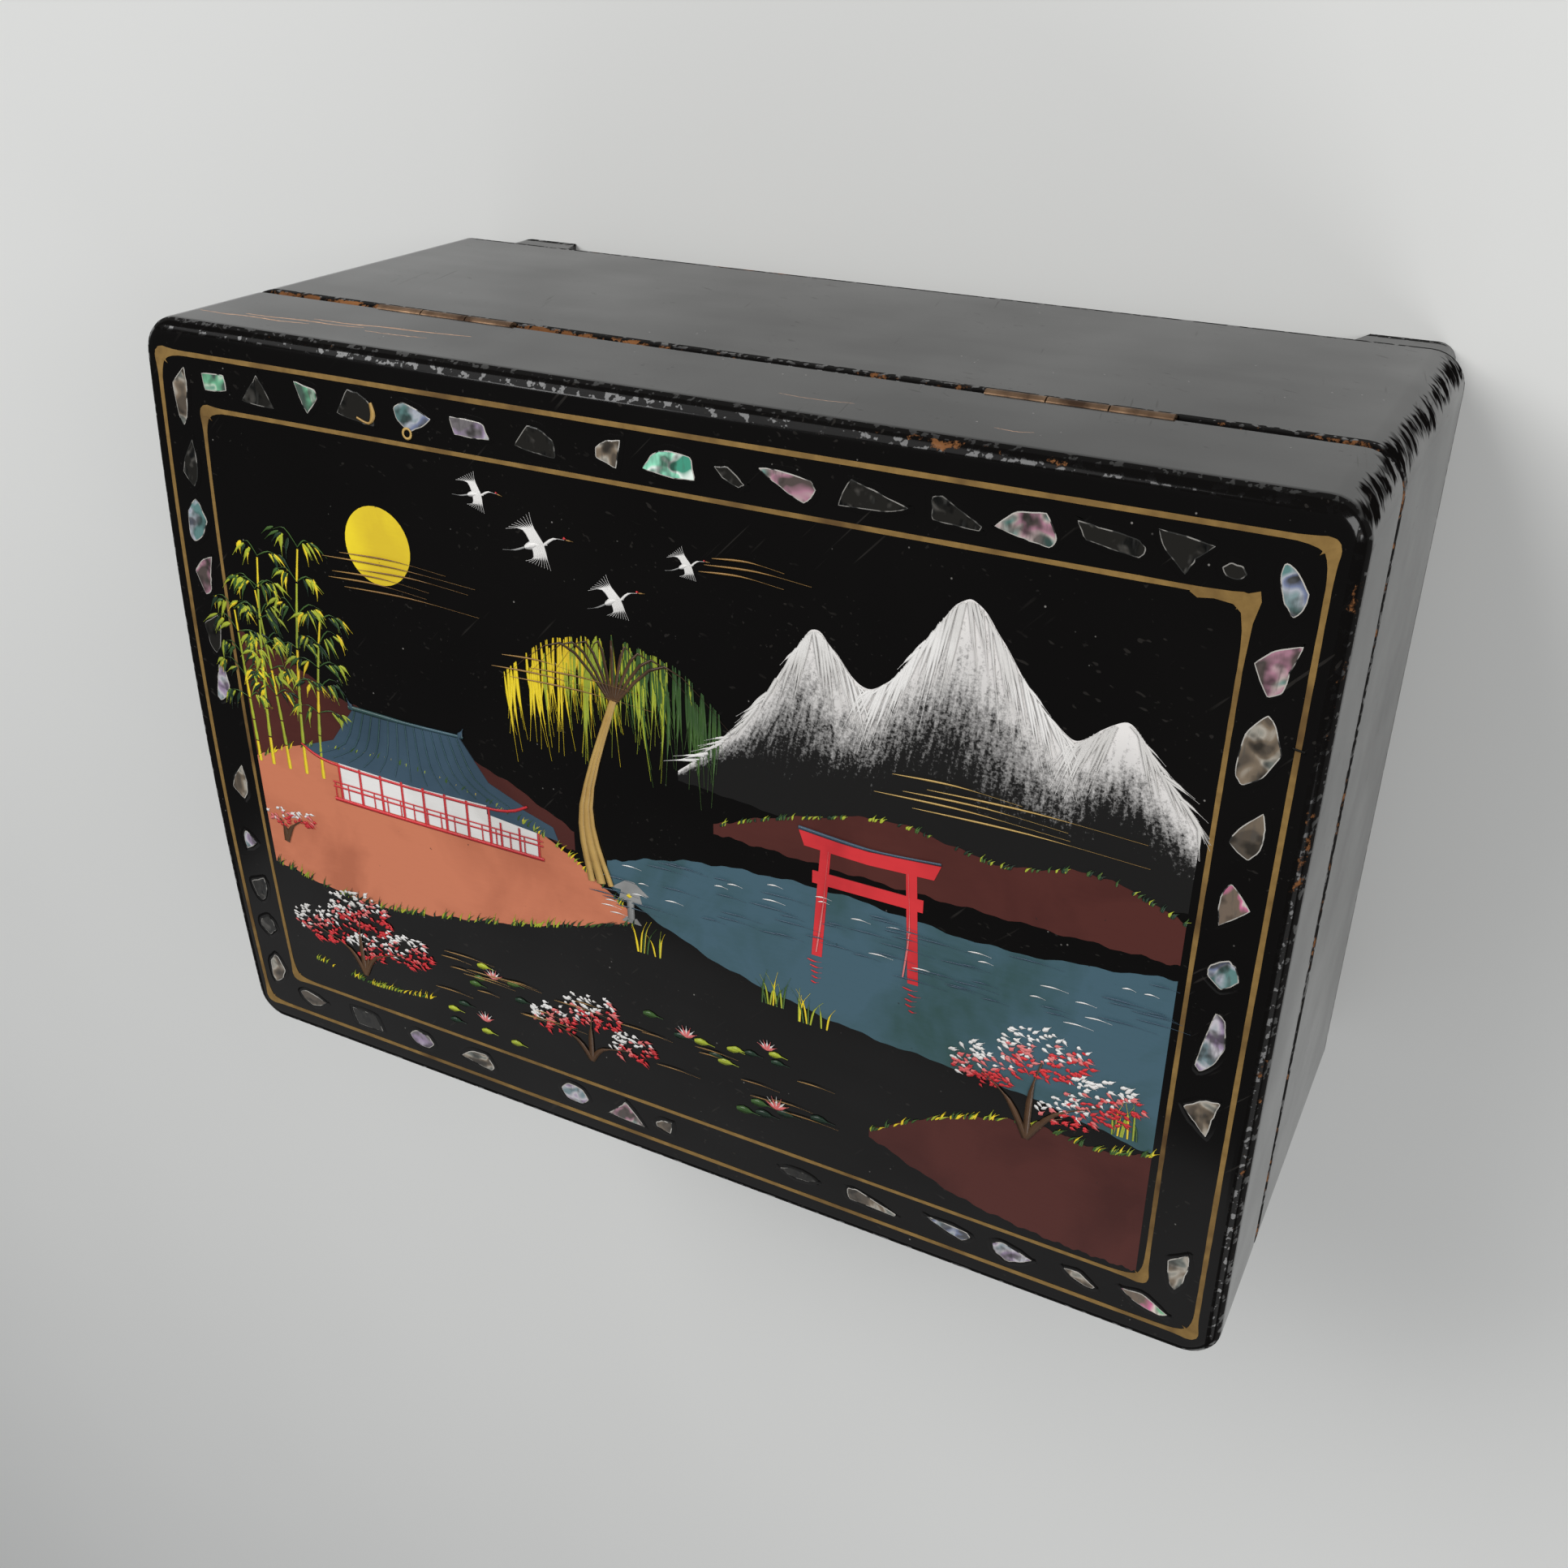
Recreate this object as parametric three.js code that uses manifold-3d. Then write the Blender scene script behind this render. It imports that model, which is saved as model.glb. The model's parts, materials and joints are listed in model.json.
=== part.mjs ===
// Lacquered wooden jewelry box with a hinged, crowned lid, a lift-out tray and a mirror.
// Millimetres, +Z up. The front is towards -Y and the hinges are on the +Y side.
// The origin is on the floor, under the middle of the box.

import * as THREE from 'three';
import { mergeVertices } from 'three/addons/utils/BufferGeometryUtils.js';
import Module from 'manifold-3d';

const wasm = await Module();
wasm.setup();

// Overall sizes
const boxWidth = 254;
const boxDepth = 182;
const caseHeight = 76.3;
const lidWallHeight = 24.9;
const seamGap = 0.8;
const seamEaseDepth = 1.1;
const seamEaseHeight = 0.9;
const footHeight = 14;

// Boards
const wall = 8;
const cornerRadius = 7.6;
const glueGap = 0.3;
const mitreRelief = 0.22;
const floorThickness = 5;
const floorRabbet = 3;
const lidPanelEdge = 5.5;
const lidCrown = 3.65;
const lidEdgeRadius = 3.3;
const lidEdgeMinimum = 0.4;
const cutMargin = 1;

// Feet
const footLength = 22;
const footTaper = 4;
const footInset = 2;
const footInsetLeft = 11;
const footInsetRight = 4;
const footCornerRadius = 4;
const footCutShare = 0.45;

// Hinges
const hingeSpacing = 140;
const hingeLength = 35;
const hingeInset = 1;
const leafFromInside = 1.2;
const leafThickness = 1;
const barrelRadius = 1.6;
const leafIntoBarrel = 0.5;
const pinRadius = 0.8;
const pinClearance = 0.25;
const knuckleGap = 0.3;
const screwSpacing = 21;
const screwHeadRadius = 1.6;
const screwShankRadius = 0.7;
const screwLength = 7;
const screwTipLength = 2;
const screwTipShare = 0.4;

// Lining and floor of the case
const liningThickness = 1.2;
const liningBelowRim = 2.5;
const floorPadThickness = 3.4;
const floorPadCrown = 0.9;
const floorPadEdgeShare = 0.72;
const ledgeWidth = 12;
const ledgeHeight = 8;
const ledgeShortOfStay = 21;
const dividerThickness = 3;
const lowerDividerBelowLedge = 4;
const lowerCrossX = 34;

// Tray
const traySideGap = 5.5;
const trayEndGap = 2.5;
const trayHeight = 26;
const trayWall = 4;
const trayFloorThickness = 2.6;
const trayRabbet = 1.6;
const trayBelowRim = 2;
const trayDividerBelowTop = 3;
const rollCount = 3;
const rollWidth = 15;
const rollHeight = 14;
const rollGap = 0.6;
const rollFlatShare = 0.9;
const rollShoulderShare = 0.95;
const rollEndWidthShare = 0.9;
const rollEndHeightShare = 0.82;
const ribbonWidth = 15;
const ribbonThickness = 1;
const ribbonHeight = 15;
const ribbonFromDivider = 20;
const ribbonAboveRim = 1.5;

// Mirror in the lid
const mirrorThickness = 3;
const mirrorStripWidth = 13;
const mirrorLip = 3;
const mirrorLipThickness = 1.8;

// Lid stay: a slotted arm with its two centres at the same distance from the hinge axis
const stayReach = 30;
const stayRise = 8;
const lidOpenAngle = 100;
const stayArmThickness = 1.2;
const stayArmWidth = 7;
const stayStudRadius = 1.2;
const stayStudClearance = 0.35;
const stayHeadRadius = 2.6;
const stayHeadThickness = 0.9;
const stayHeadOverlap = 0.2;
const stayPlateLength = 13;
const stayPlateHeight = 8;
const stayPlateThickness = 0.8;
const staySideGap = 0.3;
const stayFromWall = 3.1;

// Levels and widths worked out from the sizes above
const caseBottom = footHeight + glueGap;
const caseRim = caseBottom + caseHeight;
const hingeZ = caseRim + seamGap / 2;
const lidRim = caseRim + seamGap;
const lidWallTop = lidRim + lidWallHeight;
const panelBottom = lidWallTop + glueGap;
const floorTop = caseBottom + floorThickness;
const hingeY = boxDepth / 2 - hingeInset;
const innerWidth = boxWidth - 2 * wall;
const innerDepth = boxDepth - 2 * wall;
const liningFaceX = innerWidth / 2 - glueGap - liningThickness;
const liningFaceY = innerDepth / 2 - glueGap - liningThickness;
const leafWidth = wall - hingeInset - leafFromInside;
const trayWidth = 2 * (liningFaceX - traySideGap);
const trayDepth = 2 * (liningFaceY - trayEndGap);
const trayBottom = caseRim - trayBelowRim - trayHeight;
const ledgeTop = trayBottom - glueGap;
const lowerDividerZ = floorTop + 2 * glueGap + floorPadThickness;
const lowerDividerHeight = ledgeTop - ledgeHeight - lowerDividerBelowLedge - lowerDividerZ;
const centreShiftY = -(barrelRadius - hingeInset) / 2;

const finishes = {
  lacquer: { color: 0x0a0908, roughness: 0.2, metalness: 0 },
  redLacquer: { color: 0x5c1510, roughness: 0.35, metalness: 0 },
  brass: { color: 0xa9833c, roughness: 0.4, metalness: 1 },
  velvet: { color: 0x6e1420, roughness: 0.95, metalness: 0 },
  glass: { color: 0xc8d2d4, roughness: 0.05, metalness: 1 },
  wood: { color: 0x9a6b3f, roughness: 0.7, metalness: 0 },
};

const group = new THREE.Group();
group.position.y = centreShiftY;

function addPart(name, geometry, finish) {
  const mesh = new THREE.Mesh(geometry, new THREE.MeshStandardMaterial(finishes[finish]));
  mesh.name = name;
  group.add(mesh);
  return mesh;
}

// Solids and meshes

function toSolid(geometry) {
  const bare = geometry.clone();
  bare.deleteAttribute('normal');
  bare.deleteAttribute('uv');
  const merged = mergeVertices(bare, 1e-4);
  const mesh = new wasm.Mesh({
    numProp: 3,
    vertProperties: new Float32Array(merged.attributes.position.array),
    triVerts: new Uint32Array(merged.index.array),
  });
  return new wasm.Manifold(mesh);
}

function toGeometry(solid) {
  const mesh = solid.getMesh();
  const geometry = new THREE.BufferGeometry();
  geometry.setAttribute('position', new THREE.BufferAttribute(new Float32Array(mesh.vertProperties), 3));
  geometry.setIndex(new THREE.BufferAttribute(new Uint32Array(mesh.triVerts), 1));
  return geometry;
}

function cut(geometry, ...tools) {
  return toGeometry(tools.reduce((solid, tool) => solid.subtract(toSolid(tool)), toSolid(geometry)));
}

function join(geometry, ...others) {
  return toGeometry(others.reduce((solid, other) => solid.add(toSolid(other)), toSolid(geometry)));
}

function common(geometry, other) {
  return toGeometry(toSolid(geometry).intersect(toSolid(other)));
}

// A closed mesh from points and triangles, turned so that its faces point out
function closedMesh(points, triangles) {
  let volume = 0;
  for (const [a, b, c] of triangles) {
    volume += points[a].dot(new THREE.Vector3().crossVectors(points[b], points[c]));
  }
  const faces = volume < 0 ? triangles.map(([a, b, c]) => [a, c, b]) : triangles;
  const coordinates = points.flatMap((p) => [p.x, p.y, p.z]);
  const geometry = new THREE.BufferGeometry();
  geometry.setAttribute('position', new THREE.Float32BufferAttribute(coordinates, 3));
  geometry.setIndex(faces.flat());
  return geometry;
}

// Joins a row of like sections into one closed body with flat ends
function loft(sections, capOutline) {
  const count = sections[0].length;
  const points = sections.flat();
  const triangles = [];
  for (let s = 0; s < sections.length - 1; s += 1) {
    for (let i = 0; i < count; i += 1) {
      const a = s * count + i;
      const b = s * count + ((i + 1) % count);
      triangles.push([a, b, b + count], [a, b + count, a + count]);
    }
  }
  const cap = THREE.ShapeUtils.triangulateShape(capOutline, []);
  const last = (sections.length - 1) * count;
  for (const [a, b, c] of cap) {
    triangles.push([c, b, a], [last + a, last + b, last + c]);
  }
  return closedMesh(points, triangles);
}

function block(x0, x1, y0, y1, z0, z1) {
  const geometry = new THREE.BoxGeometry(x1 - x0, y1 - y0, z1 - z0);
  return geometry.translate((x0 + x1) / 2, (y0 + y1) / 2, (z0 + z1) / 2);
}

// A round bar along X
function rodX(radius, x0, x1, y, z, sides = 24) {
  const geometry = new THREE.CylinderGeometry(radius, radius, x1 - x0, sides);
  geometry.rotateZ(-Math.PI / 2);
  return geometry.translate((x0 + x1) / 2, y, z);
}

function roundedRectangle(width, depth, radius) {
  const x = width / 2;
  const y = depth / 2;
  const shape = new THREE.Shape();
  shape.moveTo(-x + radius, -y);
  shape.lineTo(x - radius, -y);
  shape.absarc(x - radius, -y + radius, radius, -Math.PI / 2, 0, false);
  shape.absarc(x - radius, y - radius, radius, 0, Math.PI / 2, false);
  shape.absarc(-x + radius, y - radius, radius, Math.PI / 2, Math.PI, false);
  shape.absarc(-x + radius, -y + radius, radius, Math.PI, Math.PI * 1.5, false);
  return shape;
}

function roundedPrism(width, depth, radius, z0, z1) {
  const shape = roundedRectangle(width, depth, radius);
  const settings = { depth: z1 - z0, bevelEnabled: false, curveSegments: 8 };
  const geometry = new THREE.ExtrudeGeometry(shape, settings);
  return geometry.translate(0, 0, z0);
}

// A board with mitred ends on one side of a rectangle.
// The profile lists [distance in from the outer face, height] pairs.
function mitredBoard(side, width, depth, profile) {
  const place = {
    front: (end, u) => [end * (width / 2 - u - mitreRelief), -depth / 2 + u],
    back: (end, u) => [end * (width / 2 - u - mitreRelief), depth / 2 - u],
    left: (end, u) => [-width / 2 + u, end * (depth / 2 - u - mitreRelief)],
    right: (end, u) => [width / 2 - u, end * (depth / 2 - u - mitreRelief)],
  }[side];
  const sections = [-1, 1].map((end) => profile.map(([u, z]) => new THREE.Vector3(...place(end, u), z)));
  return loft(sections, profile.map(([u, z]) => new THREE.Vector2(u, z)));
}

const sides = ['front', 'back', 'left', 'right'];

// Hinges: two butt hinges let into the back rims

const hinges = [
  { name: 'hinge_left', x: -hingeSpacing / 2 },
  { name: 'hinge_right', x: hingeSpacing / 2 },
];

function screwProfile(extra) {
  return [
    new THREE.Vector2(0, -screwLength - extra),
    new THREE.Vector2(screwShankRadius * screwTipShare + extra, -screwLength - extra),
    new THREE.Vector2(screwShankRadius + extra, -screwLength + screwTipLength),
    new THREE.Vector2(screwShankRadius + extra, -leafThickness),
    new THREE.Vector2(screwHeadRadius + extra, 0),
    new THREE.Vector2(screwHeadRadius + extra, extra),
    new THREE.Vector2(0, extra),
  ];
}

// A countersunk screw driven into a rim, pointing down (-1) or up (+1)
function screwShape(x, direction, extra) {
  const geometry = new THREE.LatheGeometry(screwProfile(extra), 16);
  geometry.rotateX(Math.PI / 2);
  if (direction > 0) {
    geometry.rotateX(Math.PI);
  }
  const rim = direction < 0 ? caseRim : lidRim;
  return geometry.translate(x, hingeY - leafWidth / 2 - barrelRadius / 2, rim);
}

function leafBlock(hinge, direction, extra) {
  const rim = direction < 0 ? caseRim : lidRim;
  const inside = rim + direction * (leafThickness + extra);
  const outside = rim - direction * extra;
  return block(
    hinge.x - hingeLength / 2 - extra,
    hinge.x + hingeLength / 2 + extra,
    hingeY - leafWidth - extra,
    hingeY - leafIntoBarrel + extra,
    Math.min(inside, outside),
    Math.max(inside, outside),
  );
}

function screwPlaces(hinge) {
  return [hinge.x - screwSpacing / 2, hinge.x + screwSpacing / 2];
}

// What is cut from a back board so that its leaf, barrel and screws fit
function hingePockets(direction) {
  return hinges.flatMap((hinge) => [
    leafBlock(hinge, direction, glueGap),
    rodX(
      barrelRadius + glueGap,
      hinge.x - hingeLength / 2 - glueGap,
      hinge.x + hingeLength / 2 + glueGap,
      hingeY,
      hingeZ,
    ),
    ...screwPlaces(hinge).map((x) => screwShape(x, direction, glueGap)),
  ]);
}

function knuckleSpan(hinge, index) {
  const step = hingeLength / 3;
  const x0 = hinge.x - hingeLength / 2 + index * step;
  return [x0 + (index > 0 ? knuckleGap / 2 : 0), x0 + step - (index < 2 ? knuckleGap / 2 : 0)];
}

// A leaf with its own knuckles: the case leaf has the outer two and the lid leaf the middle one
function hingeLeaf(hinge, direction) {
  const own = direction < 0 ? [0, 2] : [1];
  const others = direction < 0 ? [1] : [0, 2];
  const knuckles = own.map((index) => rodX(barrelRadius, ...knuckleSpan(hinge, index), hingeY, hingeZ));
  const clearings = others.map((index) => {
    const [x0, x1] = knuckleSpan(hinge, index);
    return rodX(barrelRadius + glueGap, x0 - knuckleGap, x1 + knuckleGap, hingeY, hingeZ);
  });
  const plate = cut(
    leafBlock(hinge, direction, 0),
    ...clearings,
    ...screwPlaces(hinge).map((x) => screwShape(x, direction, glueGap)),
  );
  const bore = rodX(
    pinRadius + pinClearance,
    hinge.x - hingeLength,
    hinge.x + hingeLength,
    hingeY,
    hingeZ,
  );
  return cut(join(plate, ...knuckles), bore);
}

function addHinges() {
  for (const hinge of hinges) {
    addPart(`${hinge.name}_case_leaf`, hingeLeaf(hinge, -1), 'brass');
    addPart(`${hinge.name}_lid_leaf`, hingeLeaf(hinge, 1), 'brass');
    const half = hingeLength / 2;
    const pin = rodX(pinRadius, hinge.x - half, hinge.x + half, hingeY, hingeZ, 16);
    addPart(`${hinge.name}_pin`, pin, 'brass');
    screwPlaces(hinge).forEach((x, index) => {
      addPart(`${hinge.name}_case_screw_${index + 1}`, screwShape(x, -1, 0), 'brass');
      addPart(`${hinge.name}_lid_screw_${index + 1}`, screwShape(x, 1, 0), 'brass');
    });
  }
}

// Case: four mitred boards, a floor let into them, and four bracket feet

function addCase() {
  const rabbetDepth = wall - floorRabbet;
  const rabbetTop = floorTop + glueGap;
  const profile = [
    [0, caseBottom],
    [rabbetDepth, caseBottom],
    [rabbetDepth, rabbetTop],
    [wall, rabbetTop],
    [wall, caseRim],
    [seamEaseDepth, caseRim],
    [0, caseRim - seamEaseHeight],
  ];
  const outside = roundedPrism(boxWidth, boxDepth, cornerRadius, caseBottom - cutMargin, caseRim + cutMargin);
  for (const side of sides) {
    let board = common(mitredBoard(side, boxWidth, boxDepth, profile), outside);
    if (side === 'back') {
      board = cut(board, ...hingePockets(-1));
    }
    addPart(`case_${side}`, board, 'lacquer');
  }
  const floorX = boxWidth / 2 - rabbetDepth - glueGap;
  const floorY = boxDepth / 2 - rabbetDepth - glueGap;
  addPart('case_floor', block(-floorX, floorX, -floorY, floorY, caseBottom, floorTop), 'lacquer');
}

function footOutline(length, radius) {
  const points = [];
  const steps = 5;
  for (let i = 0; i <= steps; i += 1) {
    const angle = Math.PI + (Math.PI / 2) * (i / steps);
    points.push([radius + radius * Math.cos(angle), radius + radius * Math.sin(angle)]);
  }
  const cutAt = length * footCutShare;
  points.push([length, 0], [length, cutAt], [cutAt, length], [0, length]);
  return points;
}

function addFeet() {
  const top = footOutline(footLength, footCornerRadius);
  const bottom = footOutline(footLength - footTaper, footCornerRadius);
  for (const [xName, sx, inset] of [['left', -1, footInsetLeft], ['right', 1, footInsetRight]]) {
    for (const [yName, sy] of [['front', -1], ['back', 1]]) {
      const place = ([u, v], z) => new THREE.Vector3(
        sx * (boxWidth / 2 - inset - u),
        sy * (boxDepth / 2 - footInset - v),
        z,
      );
      const sections = [bottom.map((p) => place(p, 0)), top.map((p) => place(p, footHeight))];
      addPart(`foot_${yName}_${xName}`, loft(sections, top.map((p) => new THREE.Vector2(...p))), 'lacquer');
    }
  }
}

// Lining, floor pad, ledges and dividers inside the case

function addCaseInside() {
  const z0 = floorTop + glueGap;
  const z1 = caseRim - liningBelowRim;
  const outX = innerWidth / 2 - glueGap;
  const outY = innerDepth / 2 - glueGap;
  addPart('lining_front', block(-outX, outX, -outY, -liningFaceY, z0, z1), 'velvet');
  addPart('lining_back', block(-outX, outX, liningFaceY, outY, z0, z1), 'velvet');
  const shortY = liningFaceY - glueGap;
  addPart('lining_left', block(-outX, -liningFaceX, -shortY, shortY, z0, z1), 'velvet');
  addPart('lining_right', block(liningFaceX, outX, -shortY, shortY, z0, z1), 'velvet');

  addPart('floor_pad', padShape(liningFaceX - glueGap, liningFaceY - glueGap, z0), 'velvet');

  const ledgeFront = -liningFaceY + glueGap;
  const ledgeBack = hingeY - stayReach - ledgeShortOfStay;
  const ledgeX = liningFaceX - glueGap;
  for (const [name, x0, x1] of [
    ['ledge_left', -ledgeX, -ledgeX + ledgeWidth],
    ['ledge_right', ledgeX - ledgeWidth, ledgeX],
  ]) {
    addPart(name, block(x0, x1, ledgeFront, ledgeBack, ledgeTop - ledgeHeight, ledgeTop), 'wood');
  }

  const dividerTop = lowerDividerZ + lowerDividerHeight;
  const half = dividerThickness / 2;
  const dividerY = liningFaceY - glueGap;
  addPart(
    'lower_divider_cross',
    block(lowerCrossX - half, lowerCrossX + half, -dividerY, dividerY, lowerDividerZ, dividerTop),
    'velvet',
  );
  addPart(
    'lower_divider_long',
    block(
      lowerCrossX + half + glueGap,
      liningFaceX - glueGap,
      -half,
      half,
      lowerDividerZ,
      dividerTop,
    ),
    'velvet',
  );
}

// Rings of the floor pad from its foot to its crown: how far in, and the share of its height
const padRings = [
  [0, 0],
  [0, 0.55],
  [1.2, floorPadEdgeShare],
  [4, 0.86],
  [14, 0.95],
  [34, 1],
];

// A thin crowned pad: flat underneath, with its edges drawn down all round
function padShape(halfX, halfY, z0) {
  const outline = (inset) => {
    const x = halfX - inset;
    const y = halfY - inset;
    const points = [];
    const steps = 6;
    for (const [ax, ay, bx, by] of [[-x, -y, x, -y], [x, -y, x, y], [x, y, -x, y], [-x, y, -x, -y]]) {
      for (let i = 0; i < steps; i += 1) {
        points.push([ax + (bx - ax) * (i / steps), ay + (by - ay) * (i / steps)]);
      }
    }
    return points;
  };
  const edgeHeight = floorPadThickness - floorPadCrown;
  const rise = (share) => {
    const upEdge = Math.min(share / floorPadEdgeShare, 1);
    const upCrown = Math.max((share - floorPadEdgeShare) / (1 - floorPadEdgeShare), 0);
    return z0 + edgeHeight * upEdge + floorPadCrown * upCrown;
  };
  const ring = (inset, z) => outline(inset).map(([x, y]) => new THREE.Vector3(x, y, z));
  const sections = padRings.map(([inset, share]) => ring(inset, rise(share)));
  return loft(sections, outline(0).map(([x, y]) => new THREE.Vector2(x, y)));
}

// Lid: four mitred boards and a crowned panel over them

function crownHeight(y) {
  const half = boxDepth / 2;
  return panelBottom + lidPanelEdge + lidCrown * (1 - (y / half) ** 2);
}

function lidPanelShape() {
  const halfX = boxWidth / 2;
  const halfY = boxDepth / 2;
  const arcSteps = 5;
  const stations = [];
  for (let i = 0; i <= arcSteps; i += 1) {
    stations.push(halfY - lidEdgeRadius * (1 - Math.sin((Math.PI / 2) * (i / arcSteps))));
  }
  const crownSteps = 8;
  for (let i = 1; i <= crownSteps; i += 1) {
    stations.push((halfY - lidEdgeRadius) * (1 - i / crownSteps));
  }
  const ys = [...new Set([...stations.map((y) => -y), ...stations])].sort((a, b) => a - b);
  const section = (y) => {
    const over = Math.max(Math.abs(y) - (halfY - lidEdgeRadius), 0);
    const drop = lidEdgeRadius - Math.sqrt(Math.max(lidEdgeRadius ** 2 - over ** 2, 0));
    const top = crownHeight(y) - drop;
    const radius = Math.min(lidEdgeRadius, top - panelBottom - lidEdgeMinimum);
    const points = [[-halfX, panelBottom], [halfX, panelBottom]];
    for (let i = 0; i <= arcSteps; i += 1) {
      const angle = (Math.PI / 2) * (i / arcSteps);
      points.push([halfX - radius + radius * Math.cos(angle), top - radius + radius * Math.sin(angle)]);
    }
    for (let i = 0; i <= arcSteps; i += 1) {
      const angle = (Math.PI / 2) * (1 + i / arcSteps);
      points.push([-halfX + radius + radius * Math.cos(angle), top - radius + radius * Math.sin(angle)]);
    }
    return points;
  };
  const sections = ys.map((y) => section(y).map(([x, z]) => new THREE.Vector3(x, y, z)));
  return loft(sections, section(0).map(([x, z]) => new THREE.Vector2(x, z)));
}

function addLid() {
  const profile = [
    [0, lidRim + seamEaseHeight],
    [seamEaseDepth, lidRim],
    [wall, lidRim],
    [wall, lidWallTop],
    [0, lidWallTop],
  ];
  const topLevel = crownHeight(0) + cutMargin;
  const outside = roundedPrism(boxWidth, boxDepth, cornerRadius, lidRim - cutMargin, topLevel);
  for (const side of sides) {
    let board = common(mitredBoard(side, boxWidth, boxDepth, profile), outside);
    if (side === 'back') {
      board = cut(board, ...hingePockets(1));
    }
    addPart(`lid_${side}`, board, 'lacquer');
  }
  addPart('lid_panel', common(lidPanelShape(), outside), 'lacquer');
}

// Mirror: a glass held against the lid panel by four rebated strips

function addMirror() {
  const top = panelBottom - glueGap;
  const glassBottom = top - mirrorThickness;
  const lipTop = glassBottom - glueGap;
  const lipBottom = lipTop - mirrorLipThickness;
  const profile = [
    [0, lipBottom],
    [mirrorStripWidth, lipBottom],
    [mirrorStripWidth, lipTop],
    [mirrorStripWidth - mirrorLip, lipTop],
    [mirrorStripWidth - mirrorLip, top],
    [0, top],
  ];
  const width = innerWidth - 2 * glueGap;
  const depth = innerDepth - 2 * glueGap;
  for (const side of sides) {
    addPart(`mirror_strip_${side}`, mitredBoard(side, width, depth, profile), 'redLacquer');
  }
  const glassX = width / 2 - mirrorStripWidth + mirrorLip - glueGap;
  const glassY = depth / 2 - mirrorStripWidth + mirrorLip - glueGap;
  addPart('mirror_glass', block(-glassX, glassX, -glassY, glassY, glassBottom, top), 'glass');
}

// Tray: four mitred sides, a floor, dividers, ring rolls and two ribbon pulls

// Stations along a ring roll: the share of its length, and how full it is there
const rollStations = [
  [0, 0],
  [0.012, 0.55],
  [0.035, 0.85],
  [0.08, 1],
  [0.5, 1],
  [0.92, 1],
  [0.965, 0.85],
  [0.988, 0.55],
  [1, 0],
];

function rollShape(x0, x1, y0, y1, z0) {
  const steps = 10;
  const mid = (x0 + x1) / 2;
  const section = (y, full) => {
    const half = ((x1 - x0) / 2) * (rollEndWidthShare + (1 - rollEndWidthShare) * full);
    const shoulder = rollHeight - half * rollShoulderShare;
    const heightShare = rollEndHeightShare + (1 - rollEndHeightShare) * full;
    const flat = half * rollFlatShare;
    const points = [new THREE.Vector3(mid - flat, y, z0), new THREE.Vector3(mid + flat, y, z0)];
    for (let i = 0; i <= steps; i += 1) {
      const angle = Math.PI * (i / steps);
      const height = shoulder + (rollHeight - shoulder) * Math.sin(angle);
      points.push(new THREE.Vector3(mid + half * Math.cos(angle), y, z0 + height * heightShare));
    }
    return points;
  };
  const sections = rollStations.map(([share, full]) => section(y0 + (y1 - y0) * share, full));
  return loft(sections, section(0, 1).map((p) => new THREE.Vector2(p.x, p.z)));
}

function addTray() {
  const top = trayBottom + trayHeight;
  const rabbet = trayWall - trayRabbet;
  const floorZ = trayBottom + trayFloorThickness;
  const profile = [
    [0, trayBottom],
    [rabbet, trayBottom],
    [rabbet, floorZ + glueGap],
    [trayWall, floorZ + glueGap],
    [trayWall, top],
    [0, top],
  ];
  for (const side of sides) {
    addPart(`tray_${side}`, mitredBoard(side, trayWidth, trayDepth, profile), 'redLacquer');
  }
  const floorX = trayWidth / 2 - rabbet - glueGap;
  const floorY = trayDepth / 2 - rabbet - glueGap;
  addPart('tray_floor', block(-floorX, floorX, -floorY, floorY, trayBottom, floorZ), 'velvet');

  const insideX = trayWidth / 2 - trayWall - glueGap;
  const insideY = trayDepth / 2 - trayWall - glueGap;
  const dividerZ = floorZ + glueGap;
  const dividerTop = top - trayDividerBelowTop;
  const rollsWidth = rollCount * rollWidth + (rollCount + 1) * rollGap;
  const crossX = -insideX + rollsWidth;
  const secondCrossX = crossX + (insideX - crossX) / 2;
  const half = dividerThickness / 2;
  addPart(
    'tray_divider_rolls',
    block(crossX, crossX + dividerThickness, -insideY, insideY, dividerZ, dividerTop),
    'velvet',
  );
  addPart(
    'tray_divider_long',
    block(crossX + dividerThickness + glueGap, insideX, -half, half, dividerZ, dividerTop),
    'velvet',
  );
  addPart(
    'tray_divider_short',
    block(secondCrossX - half, secondCrossX + half, half + glueGap, insideY, dividerZ, dividerTop),
    'velvet',
  );
  for (let i = 0; i < rollCount; i += 1) {
    const x0 = -insideX + rollGap + i * (rollWidth + rollGap);
    const shape = rollShape(x0, x0 + rollWidth, -insideY, insideY, dividerZ);
    addPart(`ring_roll_${i + 1}`, shape, 'velvet');
  }
  const ribbonX = trayWidth / 2 - trayWall - glueGap;
  const ribbonTop = top + ribbonAboveRim;
  const ribbonLow = dividerZ + rollHeight + glueGap;
  for (const [name, x0, z0] of [
    ['tray_ribbon_right', ribbonX - ribbonThickness, top - ribbonHeight],
    ['tray_ribbon_left', -ribbonX, ribbonLow],
  ]) {
    const y0 = half + ribbonFromDivider;
    addPart(name, block(x0, x0 + ribbonThickness, y0, y0 + ribbonWidth, z0, ribbonTop), 'velvet');
  }
}

// Lid stay: the arm turns on the lid's stud and slides on the case's stud

function stayDistance(angle) {
  const radius = Math.hypot(stayReach, stayRise);
  const start = 2 * Math.atan2(stayRise, stayReach);
  return 2 * radius * Math.sin((start + THREE.MathUtils.degToRad(angle)) / 2);
}

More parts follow.
